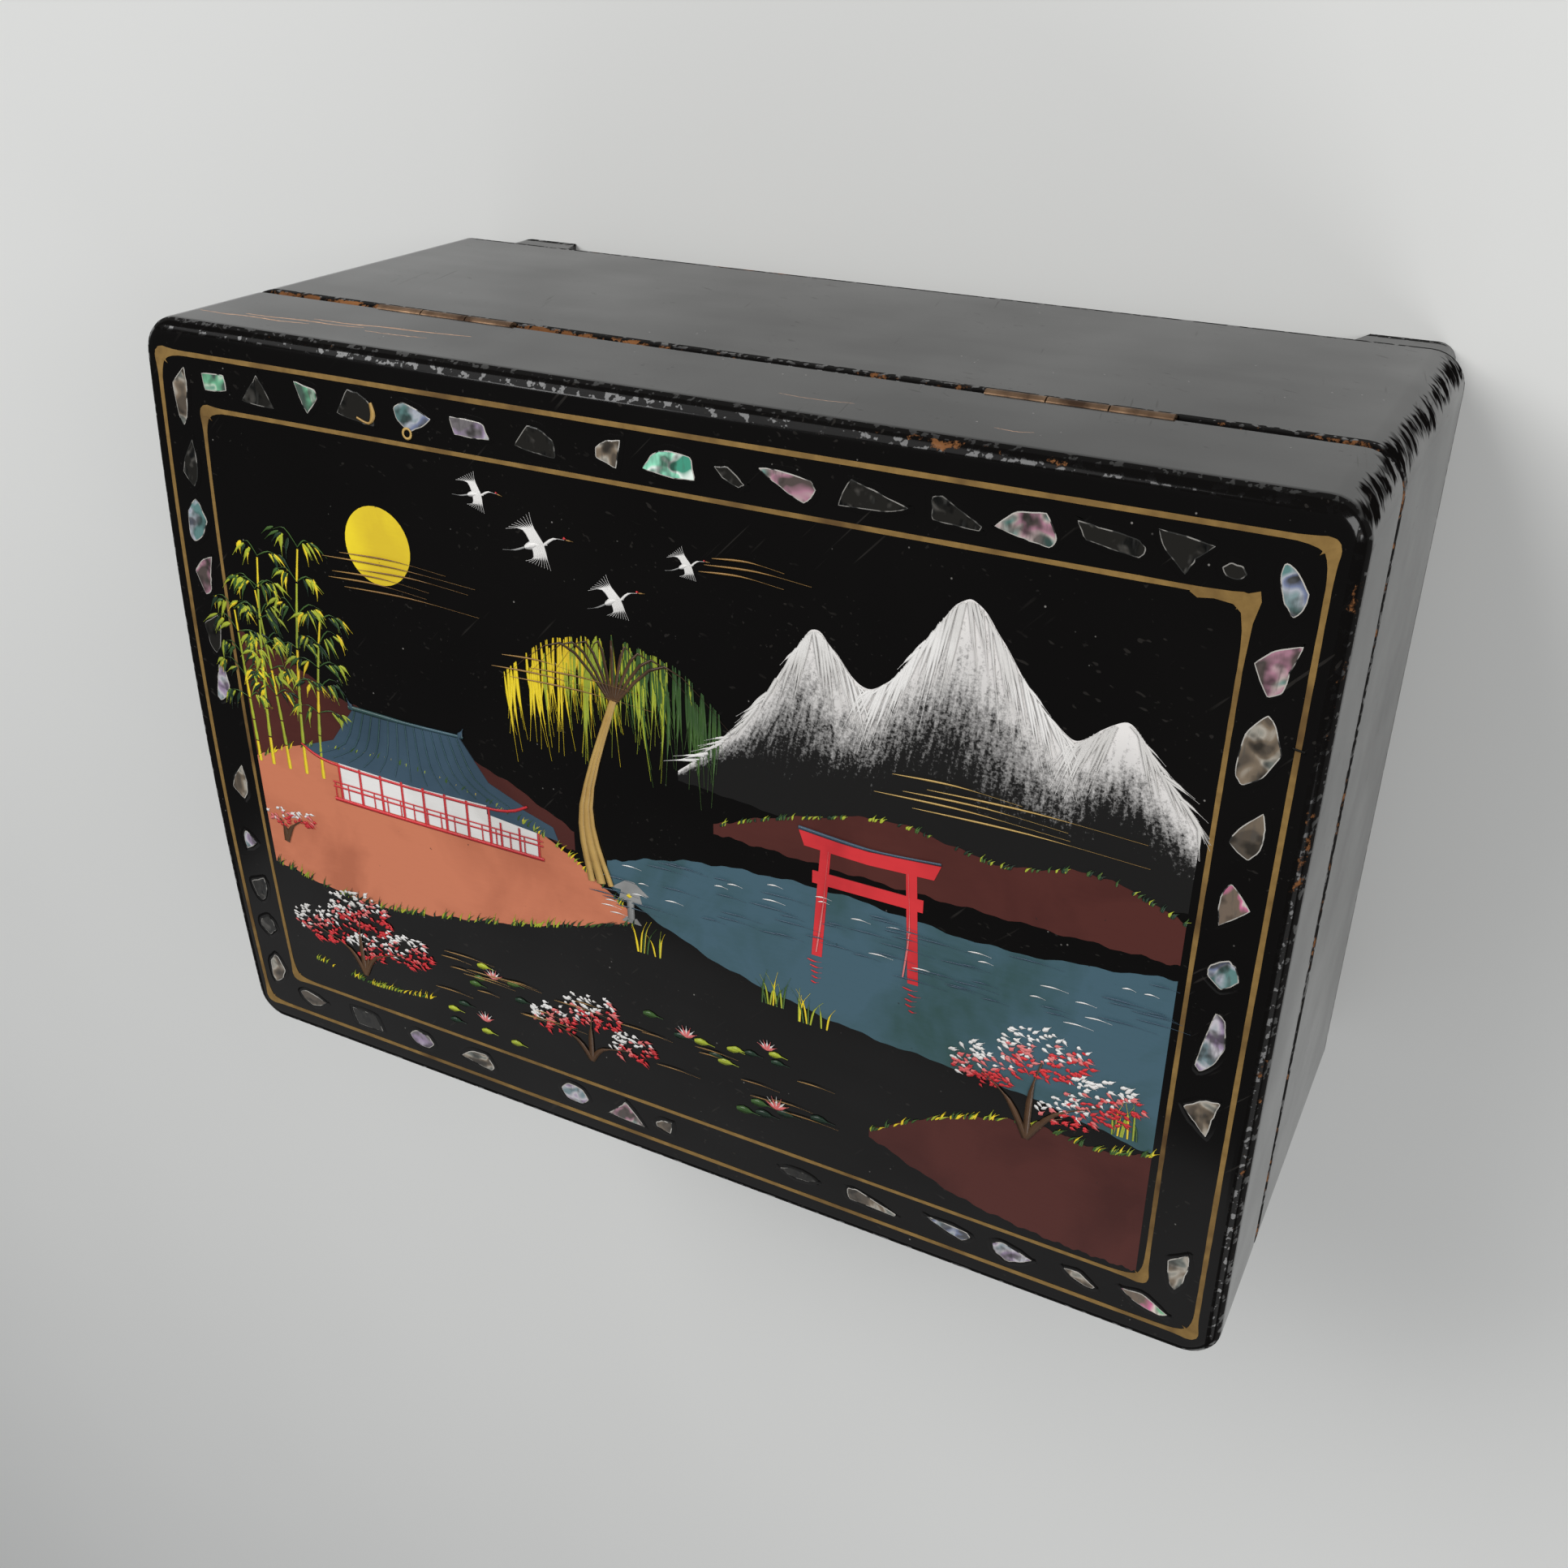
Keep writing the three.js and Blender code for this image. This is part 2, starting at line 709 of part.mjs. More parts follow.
function slotShape(x0, x1, y, zTop, zBottom, radius) {
  const shape = new THREE.Shape();
  shape.absarc(0, zTop, radius, 0, Math.PI, false);
  shape.absarc(0, zBottom, radius, Math.PI, 2 * Math.PI, false);
  const settings = { depth: x1 - x0, bevelEnabled: false, curveSegments: 10 };
  const geometry = new THREE.ExtrudeGeometry(shape, settings);
  // the outline lies in Y and Z, and its depth runs along X
  geometry.applyMatrix4(new THREE.Matrix4().makeBasis(
    new THREE.Vector3(0, 1, 0),
    new THREE.Vector3(0, 0, 1),
    new THREE.Vector3(1, 0, 0),
  ));
  return geometry.translate(x0, y, 0);
}

function stayStud(backX, frontX, armX, z) {
  const y = hingeY - stayReach;
  const plate = block(
    backX - stayPlateThickness,
    backX,
    y - stayPlateLength / 2,
    y + stayPlateLength / 2,
    z - stayPlateHeight / 2,
    z + stayPlateHeight / 2,
  );
  const rootX = backX - stayPlateThickness / 2;
  const boss = rodX(stayHeadRadius, armX + stayArmThickness + staySideGap, rootX, y, z);
  const stud = rodX(stayStudRadius, frontX + stayHeadOverlap, rootX, y, z);
  const head = rodX(stayHeadRadius, frontX, armX - staySideGap, y, z);
  return join(plate, boss, stud, head);
}

function addStay() {
  const armX = innerWidth / 2 - stayFromWall - stayArmThickness;
  const headX = armX - staySideGap - stayHeadThickness;
  const y = hingeY - stayReach;
  const lidStudZ = hingeZ + stayRise;
  const caseStudZ = hingeZ - stayRise;
  addPart('stay_lid_stud', stayStud(innerWidth / 2 - glueGap, headX, armX, lidStudZ), 'brass');
  addPart('stay_case_stud', stayStud(liningFaceX - glueGap, headX, armX, caseStudZ), 'brass');

  const slotWidth = stayStudRadius + stayStudClearance;
  const shortest = stayDistance(0);
  const longest = stayDistance(lidOpenAngle);
  const slotTop = lidStudZ - shortest;
  const slotBottom = lidStudZ - longest;
  const armBackX = armX + stayArmThickness;
  const arm = slotShape(armX, armBackX, y, lidStudZ, slotBottom - cutMargin, stayArmWidth / 2);
  const slot = slotShape(armX - cutMargin, armBackX + cutMargin, y, slotTop, slotBottom, slotWidth);
  const hole = rodX(slotWidth, armX - cutMargin, armBackX + cutMargin, y, lidStudZ);
  addPart('stay_arm', cut(arm, slot, hole), 'brass');
}

addCase();
addFeet();
addCaseInside();
addLid();
addMirror();
addHinges();
addTray();
addStay();

export default group;
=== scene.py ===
import json
import math
import random
from functools import partial

import bmesh
import bpy
from mathutils import Matrix, Vector


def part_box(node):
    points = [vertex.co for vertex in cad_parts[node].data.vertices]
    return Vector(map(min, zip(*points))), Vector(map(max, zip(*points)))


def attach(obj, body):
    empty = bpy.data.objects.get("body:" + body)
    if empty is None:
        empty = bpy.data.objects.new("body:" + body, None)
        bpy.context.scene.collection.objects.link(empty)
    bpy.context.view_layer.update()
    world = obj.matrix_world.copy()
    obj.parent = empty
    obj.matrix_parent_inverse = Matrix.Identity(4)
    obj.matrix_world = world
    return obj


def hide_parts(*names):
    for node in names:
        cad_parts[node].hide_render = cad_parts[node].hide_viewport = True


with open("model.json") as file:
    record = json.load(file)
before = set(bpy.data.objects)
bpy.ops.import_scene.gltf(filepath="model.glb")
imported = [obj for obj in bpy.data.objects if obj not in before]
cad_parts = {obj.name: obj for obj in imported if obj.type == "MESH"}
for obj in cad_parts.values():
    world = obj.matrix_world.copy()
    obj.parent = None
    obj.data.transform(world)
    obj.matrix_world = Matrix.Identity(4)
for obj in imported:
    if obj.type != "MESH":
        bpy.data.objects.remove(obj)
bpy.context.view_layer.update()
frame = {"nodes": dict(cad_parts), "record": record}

MM = 0.001

# The box, from the frame
panel_low, panel_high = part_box("lid_panel")
case_low, case_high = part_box("case_left")
lid_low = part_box("lid_left")[0]
HALF_X = panel_high.x
HALF_Y = (panel_high.y - panel_low.y) / 2
MID_Y = (panel_high.y + panel_low.y) / 2
BACK_Y = MID_Y + HALF_Y
TOP_Z = panel_high.z
WALL = case_high.x - case_low.x
FLOOR_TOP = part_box("case_floor")[1].z

# Sizes that the frame does not name, as the CAD part has them
CROWN = 3.65 * MM
LID_EDGE_RADIUS = 3.3 * MM
CORNER_RADIUS = 7.6 * MM
FLOOR_RABBET = 3 * MM
SEAM_EASE = 1.05 * MM
BASE_EASE = 1.6 * MM
GLUE_GAP = 0.3 * MM
LEAF_POCKET = 1.3 * MM

# How shapes are divided and rounded
SAME_PLACE = 1e-6
CROWN_STEP = 6 * MM
PATCH_STEP = 5 * MM
CORNER_SEGMENTS = 8
LID_EDGE_SEGMENTS = 5
EASE_SEGMENTS = 3
POCKET_SIDES = 24
ROLL_SIDES = 40
ROUND_PROFILE = 0.5
EASE_PROFILE = 0.35
SOFT_ANGLE = 60

# Gold lines on the lid, half their length and depth in millimetres, and the layers of paint
OUTER_LINE = (122.1, 84.4)
INNER_LINE = (110.9, 73.5)
OUTER_WIDTH = 1.0
INNER_WIDTH = 0.9
LINE_STEPS = 60
LINE_LIFT = 0.05 * MM
BRACKET_LIFT = 0.07 * MM
PAINT_THICKNESS = 0.05 * MM
PAINT_SINK = 0.02
SCRATCH_SEED = 17
SCRATCH_STEPS = 24
SCRATCH_FLATNESS = 0.12
BRUSH_SEED = 11
STROKE_FLATNESS = 0.14
STROKE_ROOT = 0.3
STROKE_LIFT = 0.14
STROKE_LIFT_STEP = 0.012
FINEST_STROKE = 0.03

# The camera, from a fit on the photograph's edges: place in metres, directions, focal length
PHOTO_SIZE = 1932
FOCAL_PIXELS = 1998.3
CAMERA_PLACE = Vector((154.27, 169.21, 368.88)) * MM
CAMERA_RIGHT = Vector((0.8877, 0.0092, -0.4603))
CAMERA_UP = Vector((-0.2278, 0.8776, -0.4218))
SENSOR_WIDTH = 36.0


def crown_drop(y):
    """How far the lid's top surface is below its crown at a given y."""
    return CROWN * ((y - MID_Y) / HALF_Y) ** 2


def on_lid(x, y, height=0.0):
    """A point over the lid's top, from its place in millimetres from the lid's middle."""
    py = MID_Y + y * MM
    return Vector((x * MM, py, TOP_Z - crown_drop(py) + height))


# Shader helpers


def give(socket, value):
    """Feeds an input from another socket, or sets its number, vector or color."""
    if isinstance(value, bpy.types.NodeSocket):
        socket.id_data.links.new(value, socket)
    elif socket.type == "RGBA":
        socket.default_value = (*value[:3], 1.0)
    else:
        socket.default_value = value


def feed(node, **values):
    """Gives a node's inputs their values. A low line in a label stands for a space."""
    for label, value in values.items():
        give(node.inputs[label.replace("_", " ")], value)
    return node


def new_node(near, kind, **values):
    """A node in the same tree as another node or socket."""
    return feed(near.id_data.nodes.new(kind), **values)


def math_node(operation, result, *others, clamp=False):
    """Arithmetic on sockets and numbers, two at a time from the left."""
    for other in others or (0.0,):
        pair = (result, other)
        near = next(value for value in pair if isinstance(value, bpy.types.NodeSocket))
        node = new_node(near, "ShaderNodeMath")
        node.operation = operation
        node.use_clamp = clamp
        for socket, value in zip(node.inputs, pair):
            give(socket, value)
        result = node.outputs[0]
    return result


add = partial(math_node, "ADD")
minus = partial(math_node, "SUBTRACT")
times = partial(math_node, "MULTIPLY")
divide = partial(math_node, "DIVIDE")
greatest = partial(math_node, "MAXIMUM")
absolute = partial(math_node, "ABSOLUTE")


def remap(value, low, high, to_low=0.0, to_high=1.0):
    limits = {"From_Min": low, "From_Max": high, "To_Min": to_low, "To_Max": to_high}
    return new_node(value, "ShaderNodeMapRange", Value=value, **limits).outputs["Result"]


def mix(factor, first, second):
    """A color between two others."""
    node = new_node(factor, "ShaderNodeMix")
    node.data_type = "RGBA"
    for index, value in ((0, factor), (6, first), (7, second)):
        give(node.inputs[index], value)
    return node.outputs[2]


def mapping(vector, **settings):
    return new_node(vector, "ShaderNodeMapping", Vector=vector, **settings).outputs["Vector"]


def noise(vector, scale, detail=4.0, roughness=0.55, distortion=0.0):
    """Noise of one scale, or of its own scale along each axis."""
    if isinstance(scale, tuple):
        vector, scale = mapping(vector, Scale=scale), 1.0
    settings = {"Scale": scale, "Detail": detail, "Roughness": roughness, "Distortion": distortion}
    return new_node(vector, "ShaderNodeTexNoise", Vector=vector, **settings).outputs["Fac"]


def split(vector):
    """The X, Y and Z of a vector."""
    return new_node(vector, "ShaderNodeSeparateXYZ", Vector=vector).outputs


def bump(height, strength, distance):
    node = new_node(height, "ShaderNodeBump", Strength=strength, Distance=distance, Height=height)
    return node.outputs["Normal"]


def object_coordinates(near):
    return new_node(near, "ShaderNodeTexCoord").outputs["Object"]


def new_group(name, inputs, outputs):
    """A node group: what its inputs give, its end node, and object coordinates."""
    tree = bpy.data.node_groups.new(name, "ShaderNodeTree")
    for label, value in inputs.items():
        kind = "NodeSocketColor" if isinstance(value, tuple) else "NodeSocketFloat"
        socket = tree.interface.new_socket(label, in_out="INPUT", socket_type=kind)
        socket.default_value = value
    for label in outputs:
        kind = "NodeSocketColor" if label == "Color" else "NodeSocketFloat"
        tree.interface.new_socket(label, in_out="OUTPUT", socket_type=kind)
    given = tree.nodes.new("NodeGroupInput").outputs
    end = tree.nodes.new("NodeGroupOutput")
    return given, end, object_coordinates(end)


def use_group(near, group, **values):
    """The outputs of a shared effect."""
    node = new_node(near, "ShaderNodeGroup")
    node.node_tree = group
    return feed(node, **values).outputs


def new_material(name, **settings):
    material = bpy.data.materials.new(name)
    material.use_nodes = True
    return material, feed(material.node_tree.nodes["Principled BSDF"], **settings)


# Shared effects


def scratch_group():
    """Fine straight scratches in several directions."""
    given, end, coordinates = new_group("fine_scratches", {"Density": 0.5}, ["Mask"])
    sets = []
    for turn, shift in ((0.35, 0.0), (1.1, 3.1), (-0.6, 7.7)):
        turned = mapping(coordinates, Rotation=(turn,) * 3, Location=(shift,) * 3)
        lines = remap(noise(turned, (30, 900, 900), detail=1.0), 0.70, 0.74)
        patches = remap(noise(turned, 45.0, detail=2.0), 0.52, 0.62)
        sets.append(times(lines, patches, clamp=True))
    feed(end, Mask=times(greatest(*sets), given["Density"], clamp=True))
    return end.id_data


def edge_rub_group():
    """Where the corners and edges of a box-shaped piece are rubbed through."""
    limits = {"Low z": 0.0, "High z": 0.1, "Crown": 0.0, "Width": 0.002}
    amounts = {"Amount": 0.5, "Back amount": 0.0}
    given, end, coordinates = new_group("edge_rub", {**limits, **amounts}, ["Mask", "Edge"])
    x, y, z = split(coordinates)
    y = minus(y, MID_Y)
    share = divide(y, HALF_Y)
    z = add(z, times(share, share, given["Crown"]))

    def near(gap):
        """One at a face, falling to nothing at the rub's width from it."""
        return minus(1.0, divide(gap, given["Width"], clamp=True), clamp=True)

    near_x = near(minus(HALF_X, absolute(x)))
    near_y = near(minus(HALF_Y, absolute(y)))
    near_z = greatest(near(minus(given["High z"], z)), near(minus(z, given["Low z"])))
    edge = greatest(times(near_x, near_y), times(near_y, near_z), times(near_x, near_z))
    at_back = remap(y, HALF_Y - 5 * MM, HALF_Y - 2 * MM)
    to_left = remap(x, 50 * MM, -20 * MM)
    amount = add(given["Amount"], times(at_back, to_left, given["Back amount"]))
    grains = noise(coordinates, 260.0, detail=6.0, roughness=0.7)
    patches = times(noise(coordinates, 28.0, detail=3.0), 0.8)
    raised = add(grains, patches, times(edge, amount))
    mask = times(remap(raised, 1.22, 1.27), remap(edge, 0.02, 0.1), clamp=True)
    feed(end, Mask=mask, Edge=edge)
    return end.id_data


def dust_group():
    """Specks of dust and a faint haze."""
    given, end, coordinates = new_group("dust_and_haze", {"Amount": 0.5}, ["Specks", "Haze"])
    cells = new_node(coordinates, "ShaderNodeTexVoronoi", Vector=coordinates, Scale=420.0)
    spots = remap(cells.outputs["Distance"], 0.10, 0.05)
    some = remap(noise(coordinates, 150.0, detail=2.0), 0.60, 0.64)
    specks = times(times(spots, some), given["Amount"], clamp=True)
    haze = remap(noise(coordinates, 17.0, detail=5.0), 0.42, 0.68)
    feed(end, Specks=specks, Haze=times(haze, given["Amount"], clamp=True))
    return end.id_data


def ripple_group():
    """The slow waves that brushed lacquer dries in, as a height."""
    _, end, coordinates = new_group("lacquer_ripple", {}, ["Height"])
    slow = noise(coordinates, 24.0, detail=2.0)
    brushed = noise(coordinates, (18, 120, 120), detail=2.0)
    fine = noise(coordinates, 700.0, detail=2.0)
    feed(end, Height=add(slow, times(brushed, 0.25), times(fine, 0.02)))
    return end.id_data


def wrinkle_group():
    """Lacquer that has shrunk into short folds across the back right corner."""
    _, end, coordinates = new_group("corner_wrinkles", {}, ["Height", "Mask"])
    x, y, _ = split(coordinates)
    away = add(minus(HALF_X, x), minus(BACK_Y, y))
    turned = mapping(coordinates, Rotation=(0.5, 0.35, 0.0))
    folds = noise(turned, (130, 130, 520), detail=1.5, distortion=0.9)
    wander = noise(coordinates, 60.0, detail=2.0)
    reach = add(away, times(wander, 3 * MM), times(folds, 4 * MM))
    mask = remap(reach, 8.5 * MM, 7.7 * MM)
    feed(end, Height=times(remap(folds, 0.58, 0.63), mask), Mask=mask)
    return end.id_data


def paint_group():
    """A painted film: two close colors in soft patches, fine streaks, and small rubbed spots."""
    white = (1.0, 1.0, 1.0, 1.0)
    given, end, coordinates = new_group(
        "paint_film", {"Main": white, "Second": white}, ["Color", "Height"]
    )
    patches = noise(coordinates, 34.0, distortion=0.6)
    streaks = noise(coordinates, (260, 1400, 900), detail=3.0)
    blend = add(remap(patches, 0.42, 0.64), times(streaks, 0.3))
    base = mix(minus(blend, 0.15, clamp=True), given["Main"], given["Second"])
    rubbed = remap(noise(coordinates, 420.0, roughness=0.7), 0.70, 0.74)
    color = mix(times(rubbed, 0.7), base, (0.012, 0.010, 0.009))
    feed(end, Color=color, Height=minus(streaks, rubbed))
    return end.id_data


scratches = scratch_group()
edge_rub = edge_rub_group()
dust = dust_group()
ripple = ripple_group()
wrinkles = wrinkle_group()
paint_film = paint_group()


# Materials

BLACK = (0.0045, 0.0041, 0.0039)
FILM_SHINE = 1.0  # how much the clear film over the black mirrors
RUB_WIDTH = 2.6 * MM


def lacquer_material(name, low_z, high_z, crown, rub_amount, back_rub):
    """Black lacquer over brown wood: rubbed edges, fine scratches, dust, haze and slow waves."""
    material, shader = new_material(
        name, Roughness=0.6, IOR=1.5, Coat_Roughness=0.12, Specular_IOR_Level=0.0
    )
    limits = {"Low_z": low_z, "High_z": high_z, "Crown": crown, "Width": RUB_WIDTH}
    rub = use_group(shader, edge_rub, **limits, Amount=rub_amount, Back_amount=back_rub)
    marks = use_group(shader, scratches, Density=0.6)["Mask"]
    dirt = use_group(shader, dust, Amount=0.5)
    waves = use_group(shader, ripple)["Height"]
    folds = use_group(shader, wrinkles)
    coordinates = object_coordinates(shader)

    wood = mix(noise(coordinates, (60, 600, 600)), (0.030, 0.010, 0.005), (0.30, 0.13, 0.050))
    hazed = mix(times(dirt["Haze"], 0.07), BLACK, (0.030, 0.028, 0.026))
    marked = mix(times(marks, 0.25), hazed, (0.10, 0.09, 0.08))
    specked = mix(dirt["Specks"], marked, (0.40, 0.38, 0.35))

    valleys = minus(folds["Mask"], folds["Height"], clamp=True)
    glints = remap(noise(coordinates, 620.0, detail=2.0), 0.60, 0.56)
    quiet = times(remap(rub["Edge"], 0.01, 0.06), glints)
    film = remap(greatest(valleys, times(quiet, 0.72)), 0.0, 0.8, FILM_SHINE, 0.0)
    for mask, share in ((rub["Mask"], 0.9), (marks, 0.4), (dirt["Haze"], 0.16)):
        film = times(film, minus(1.0, times(mask, share), clamp=True))
    film = times(film, remap(waves, 0.45, 0.80, 1.0, 0.82))

    dents = minus(waves, times(rub["Mask"], 0.25), times(marks, 0.05))
    lumps = times(noise(coordinates, 300.0, detail=3.0), remap(rub["Edge"], 0.0, 0.5))
    dents = add(dents, times(folds["Height"], 1.6), lumps)
    color = mix(rub["Mask"], specked, wood)
    feed(shader, Base_Color=color, Coat_Weight=film, Normal=bump(dents, 0.5, 0.35 * MM))
    return material


def grained_material(name, grain, tones, relief, patches=None, scratched=False, **settings):
    """Two close tones mixed by one noise, which also gives the relief.

    Patches are a second noise, the range in which it shows, and the tone that it lays over."""
    material, shader = new_material(name, **settings)
    coordinates = object_coordinates(shader)
    pattern = noise(coordinates, *grain)
    color = mix(pattern, *tones)
    if patches:
        scale, detail, shown, tone = patches
        color = mix(remap(noise(coordinates, scale, detail), *shown), color, tone)
    feed(shader, Base_Color=color, Normal=bump(pattern, *relief))
    if scratched:
        marks = use_group(shader, scratches, Density=0.5)["Mask"]
        feed(shader, Roughness=add(0.26, times(marks, 0.3)))
    return material


def clouded_metal(name, grain, shown, tones, dulled, relief=None):
    """Metal with clouds of a second tone that also change its gloss."""
    material, shader = new_material(name, Metallic=1.0)
    clouds = noise(object_coordinates(shader), *grain)
    feed(shader, Base_Color=mix(remap(clouds, *shown), *tones), Roughness=remap(clouds, *dulled))
    if relief:
        feed(shader, Normal=bump(clouds, *relief))
    return material


SHELL_BANDS = (0.40, 0.50, 0.57, 0.66)


def shell_material(name, tones, dark):
    """Shell under clear lacquer: soft bands of color, growth lines, black where it is lost."""
    material, shader = new_material(name, Roughness=0.14, Coat_Weight=0.5, Coat_Roughness=0.06)
    coordinates = object_coordinates(shader)
    swirl = noise(coordinates, 170.0, detail=1.0, distortion=0.7)
    ramp = new_node(shader, "ShaderNodeValToRGB", Fac=swirl)
    bands = ramp.color_ramp.elements
    for index, (place, color) in enumerate(zip(SHELL_BANDS, tones)):
        band = bands[index] if index < 2 else bands.new(place)
        band.position = place
        band.color = (*color, 1.0)
    layers = noise(coordinates, (900, 200, 900), detail=2.0, distortion=0.5)
    lined = mix(remap(layers, 0.52, 0.72, 0.0, 0.5), ramp.outputs["Color"], (0.07, 0.07, 0.065))
    low, high, most = (0.40, 0.50, 1.0) if dark else (0.50, 0.64, 0.75)
    gone = remap(noise(coordinates, 240.0, detail=2.0), low, high, 0.0, most)
    color = mix(gone, lined, (0.016, 0.015, 0.013))
    feed(shader, Base_Color=color, Normal=bump(layers, 0.35, 0.12 * MM))
    return material


def shell_rim_material(name, color, cover):
    """The bright broken edge of a chip, lost in places."""
    material, shader = new_material(name, Roughness=0.2, Coat_Weight=0.5, Coat_Roughness=0.1)
    patches = noise(object_coordinates(shader), 260.0, detail=2.0)
    rim = mix(remap(patches, cover, cover + 0.08), color, (0.03, 0.03, 0.028))
    feed(shader, Base_Color=rim, Normal=bump(patches, 0.3, 0.1 * MM))
    return material


def paint_material(name):
    main, second = PAINTS[name]
    settings = {"Roughness": 0.42, "Coat_Weight": 0.15, "Coat_Roughness": 0.2}
    material, shader = new_material(f"paint_{name}", **settings)
    film = use_group(shader, paint_film, Main=main, Second=second)
    feed(shader, Base_Color=film["Color"], Normal=bump(film["Height"], 0.35, 0.06 * MM))
    return material


def snow_material():
    """Dry-brushed snow that thins out downwards into specks on the black."""
    material, shader = new_material("paint_snow", Roughness=0.45)
    place = new_node(shader, "ShaderNodeUVMap").outputs["UV"]
    coordinates = object_coordinates(shader)
    down = split(place)["Y"]
    streaks = noise(place, (90, 7, 1), detail=3.0, distortion=0.3)
    clouds = noise(coordinates, 55.0, detail=3.0)
    specks = noise(coordinates, 1500.0, detail=3.0, roughness=0.8)
    cover = add(times(down, 1.35), times(streaks, 0.9), times(clouds, 0.6), times(specks, 1.1))
    snow = mix(remap(down, 0.2, 0.95), (0.20, 0.20, 0.195), (0.78, 0.75, 0.72))
    color = mix(remap(cover, 1.95, 2.45), (0.008, 0.0075, 0.007), snow)
    feed(shader, Base_Color=color, Normal=bump(cover, 0.3, 0.06 * MM))
    return material


# Each paint: its main color and a second, close one
PAINTS = {
    "yellow": ((0.86, 0.66, 0.02), (0.70, 0.50, 0.02)),
    "lime": ((0.42, 0.48, 0.03), (0.26, 0.32, 0.03)),
    "green": ((0.055, 0.125, 0.022), (0.03, 0.075, 0.02)),
    "deep_green": ((0.014, 0.040, 0.020), (0.008, 0.022, 0.013)),
    "white": ((0.80, 0.78, 0.75), (0.62, 0.60, 0.57)),
    "grey": ((0.30, 0.30, 0.29), (0.16, 0.16, 0.155)),
    "red": ((0.66, 0.030, 0.036), (0.45, 0.018, 0.024)),
    "rose": ((0.72, 0.20, 0.19), (0.60, 0.10, 0.10)),
    "maroon": ((0.085, 0.020, 0.015), (0.060, 0.013, 0.010)),
    "brown": ((0.11, 0.055, 0.025), (0.05, 0.025, 0.012)),
    "teal": ((0.055, 0.115, 0.150), (0.030, 0.075, 0.072)),
    "slate": ((0.048, 0.090, 0.130), (0.034, 0.065, 0.095)),
    "salmon": ((0.60, 0.195, 0.100), (0.46, 0.140, 0.070)),
    "tan": ((0.55, 0.36, 0.11), (0.38, 0.22, 0.06)),
    "gold": ((0.36, 0.20, 0.05), (0.22, 0.11, 0.025)),
    "ink": ((0.006, 0.006, 0.005), (0.003, 0.003, 0.003)),
}

case_lacquer = lacquer_material("black_lacquer_case", case_low.z, case_high.z, 0.0, 0.31, 0.19)
lid_lacquer = lacquer_material("black_lacquer_lid", lid_low.z, TOP_Z, CROWN, 0.33, 0.15)
foot_lacquer = lacquer_material("black_lacquer_feet", 0.0, case_low.z, 0.0, 0.3, 0.0)
aged_brass = clouded_metal(
    "aged_brass", (120.0, 6.0), (0.36, 0.60), ((0.30, 0.190, 0.115), (0.075, 0.044, 0.028)),
    (0.35, 0.7, 0.44, 0.72), (0.3, 0.1 * MM),
)
mirror_silver = clouded_metal(
    "mirror_silver", (22.0, 5.0), (0.6, 0.75), ((0.86, 0.88, 0.88), (0.66, 0.66, 0.62)),
    (0.5, 0.75, 0.02, 0.16),
)
red_lacquer = grained_material(
    "red_lacquer", ((40, 260, 260), 5.0), ((0.11, 0.012, 0.008), (0.24, 0.03, 0.018)),
    (0.3, 0.12 * MM), scratched=True, Coat_Weight=0.3,
)
gold_paint = grained_material(
    "gold_paint", ((500, 500, 500), 5.0), ((0.20, 0.115, 0.032), (0.44, 0.27, 0.085)),
    (0.4, 0.08 * MM), (60.0, 3.0, (0.50, 0.72), (0.12, 0.065, 0.024)),
    Roughness=0.42, Metallic=0.35,
)
red_velvet = grained_material(
    "red_velvet", (2600.0, 2.0), ((0.11, 0.004, 0.010), (0.26, 0.014, 0.028)),
    (0.6, 0.3 * MM), (26.0, 2.0, (0.40, 0.72, 0.0, 0.5), (0.32, 0.028, 0.042)),
    Roughness=0.9, Sheen_Weight=0.8, Sheen_Roughness=0.35,
)
bare_wood = grained_material(
    "bare_wood", ((220, 18, 220), 5.0, 0.55, 0.5), ((0.24, 0.12, 0.045), (0.52, 0.32, 0.15)),
    (0.4, 0.15 * MM), Roughness=0.62,
)
ribbon_satin = grained_material(
    "red_ribbon", ((300, 4200, 300), 1.0), ((0.20, 0.010, 0.018), (0.46, 0.040, 0.052)),
    (0.5, 0.1 * MM), Roughness=0.5, Sheen_Weight=0.5,
)
scratched_wood = grained_material(
    "scratched_undercoat", (900.0, 3.0), ((0.22, 0.10, 0.055), (0.66, 0.42, 0.27)),
    (0.3, 0.05 * MM), Roughness=0.5,
)
paints = {name: paint_material(name) for name in PAINTS}
snow_paint = snow_material()


# Modelling helpers


def deselect():
    if bpy.context.mode != "OBJECT":
        bpy.ops.object.mode_set(mode="OBJECT")
    bpy.ops.object.select_all(action="DESELECT")


def activate(piece):
    deselect()
    piece.select_set(True)
    bpy.context.view_layer.objects.active = piece


def edit(piece, kind="FACE", action="SELECT"):
    activate(piece)
    bpy.ops.object.mode_set(mode="EDIT")
    bpy.ops.mesh.select_mode(type=kind)
    bpy.ops.mesh.select_all(action=action)


def leave_edit():
    bpy.ops.object.mode_set(mode="OBJECT")


def link_piece(name, data):
    piece = bpy.data.objects.new(name, data)
    bpy.context.collection.objects.link(piece)
    return piece


def take_new(name):
    """The piece that was just added, under its name and with its place in its mesh."""
    piece = bpy.context.active_object
    piece.name = name
    bpy.ops.object.transform_apply(location=True, rotation=True, scale=True)
    return piece


def cube_piece(name, low, high):
    """A cube from its lowest and highest corners."""
    deselect()
    low = Vector(low)
    high = Vector(high)
    bpy.ops.mesh.primitive_cube_add(size=1.0, location=(low + high) / 2, scale=high - low)
    return take_new(name)


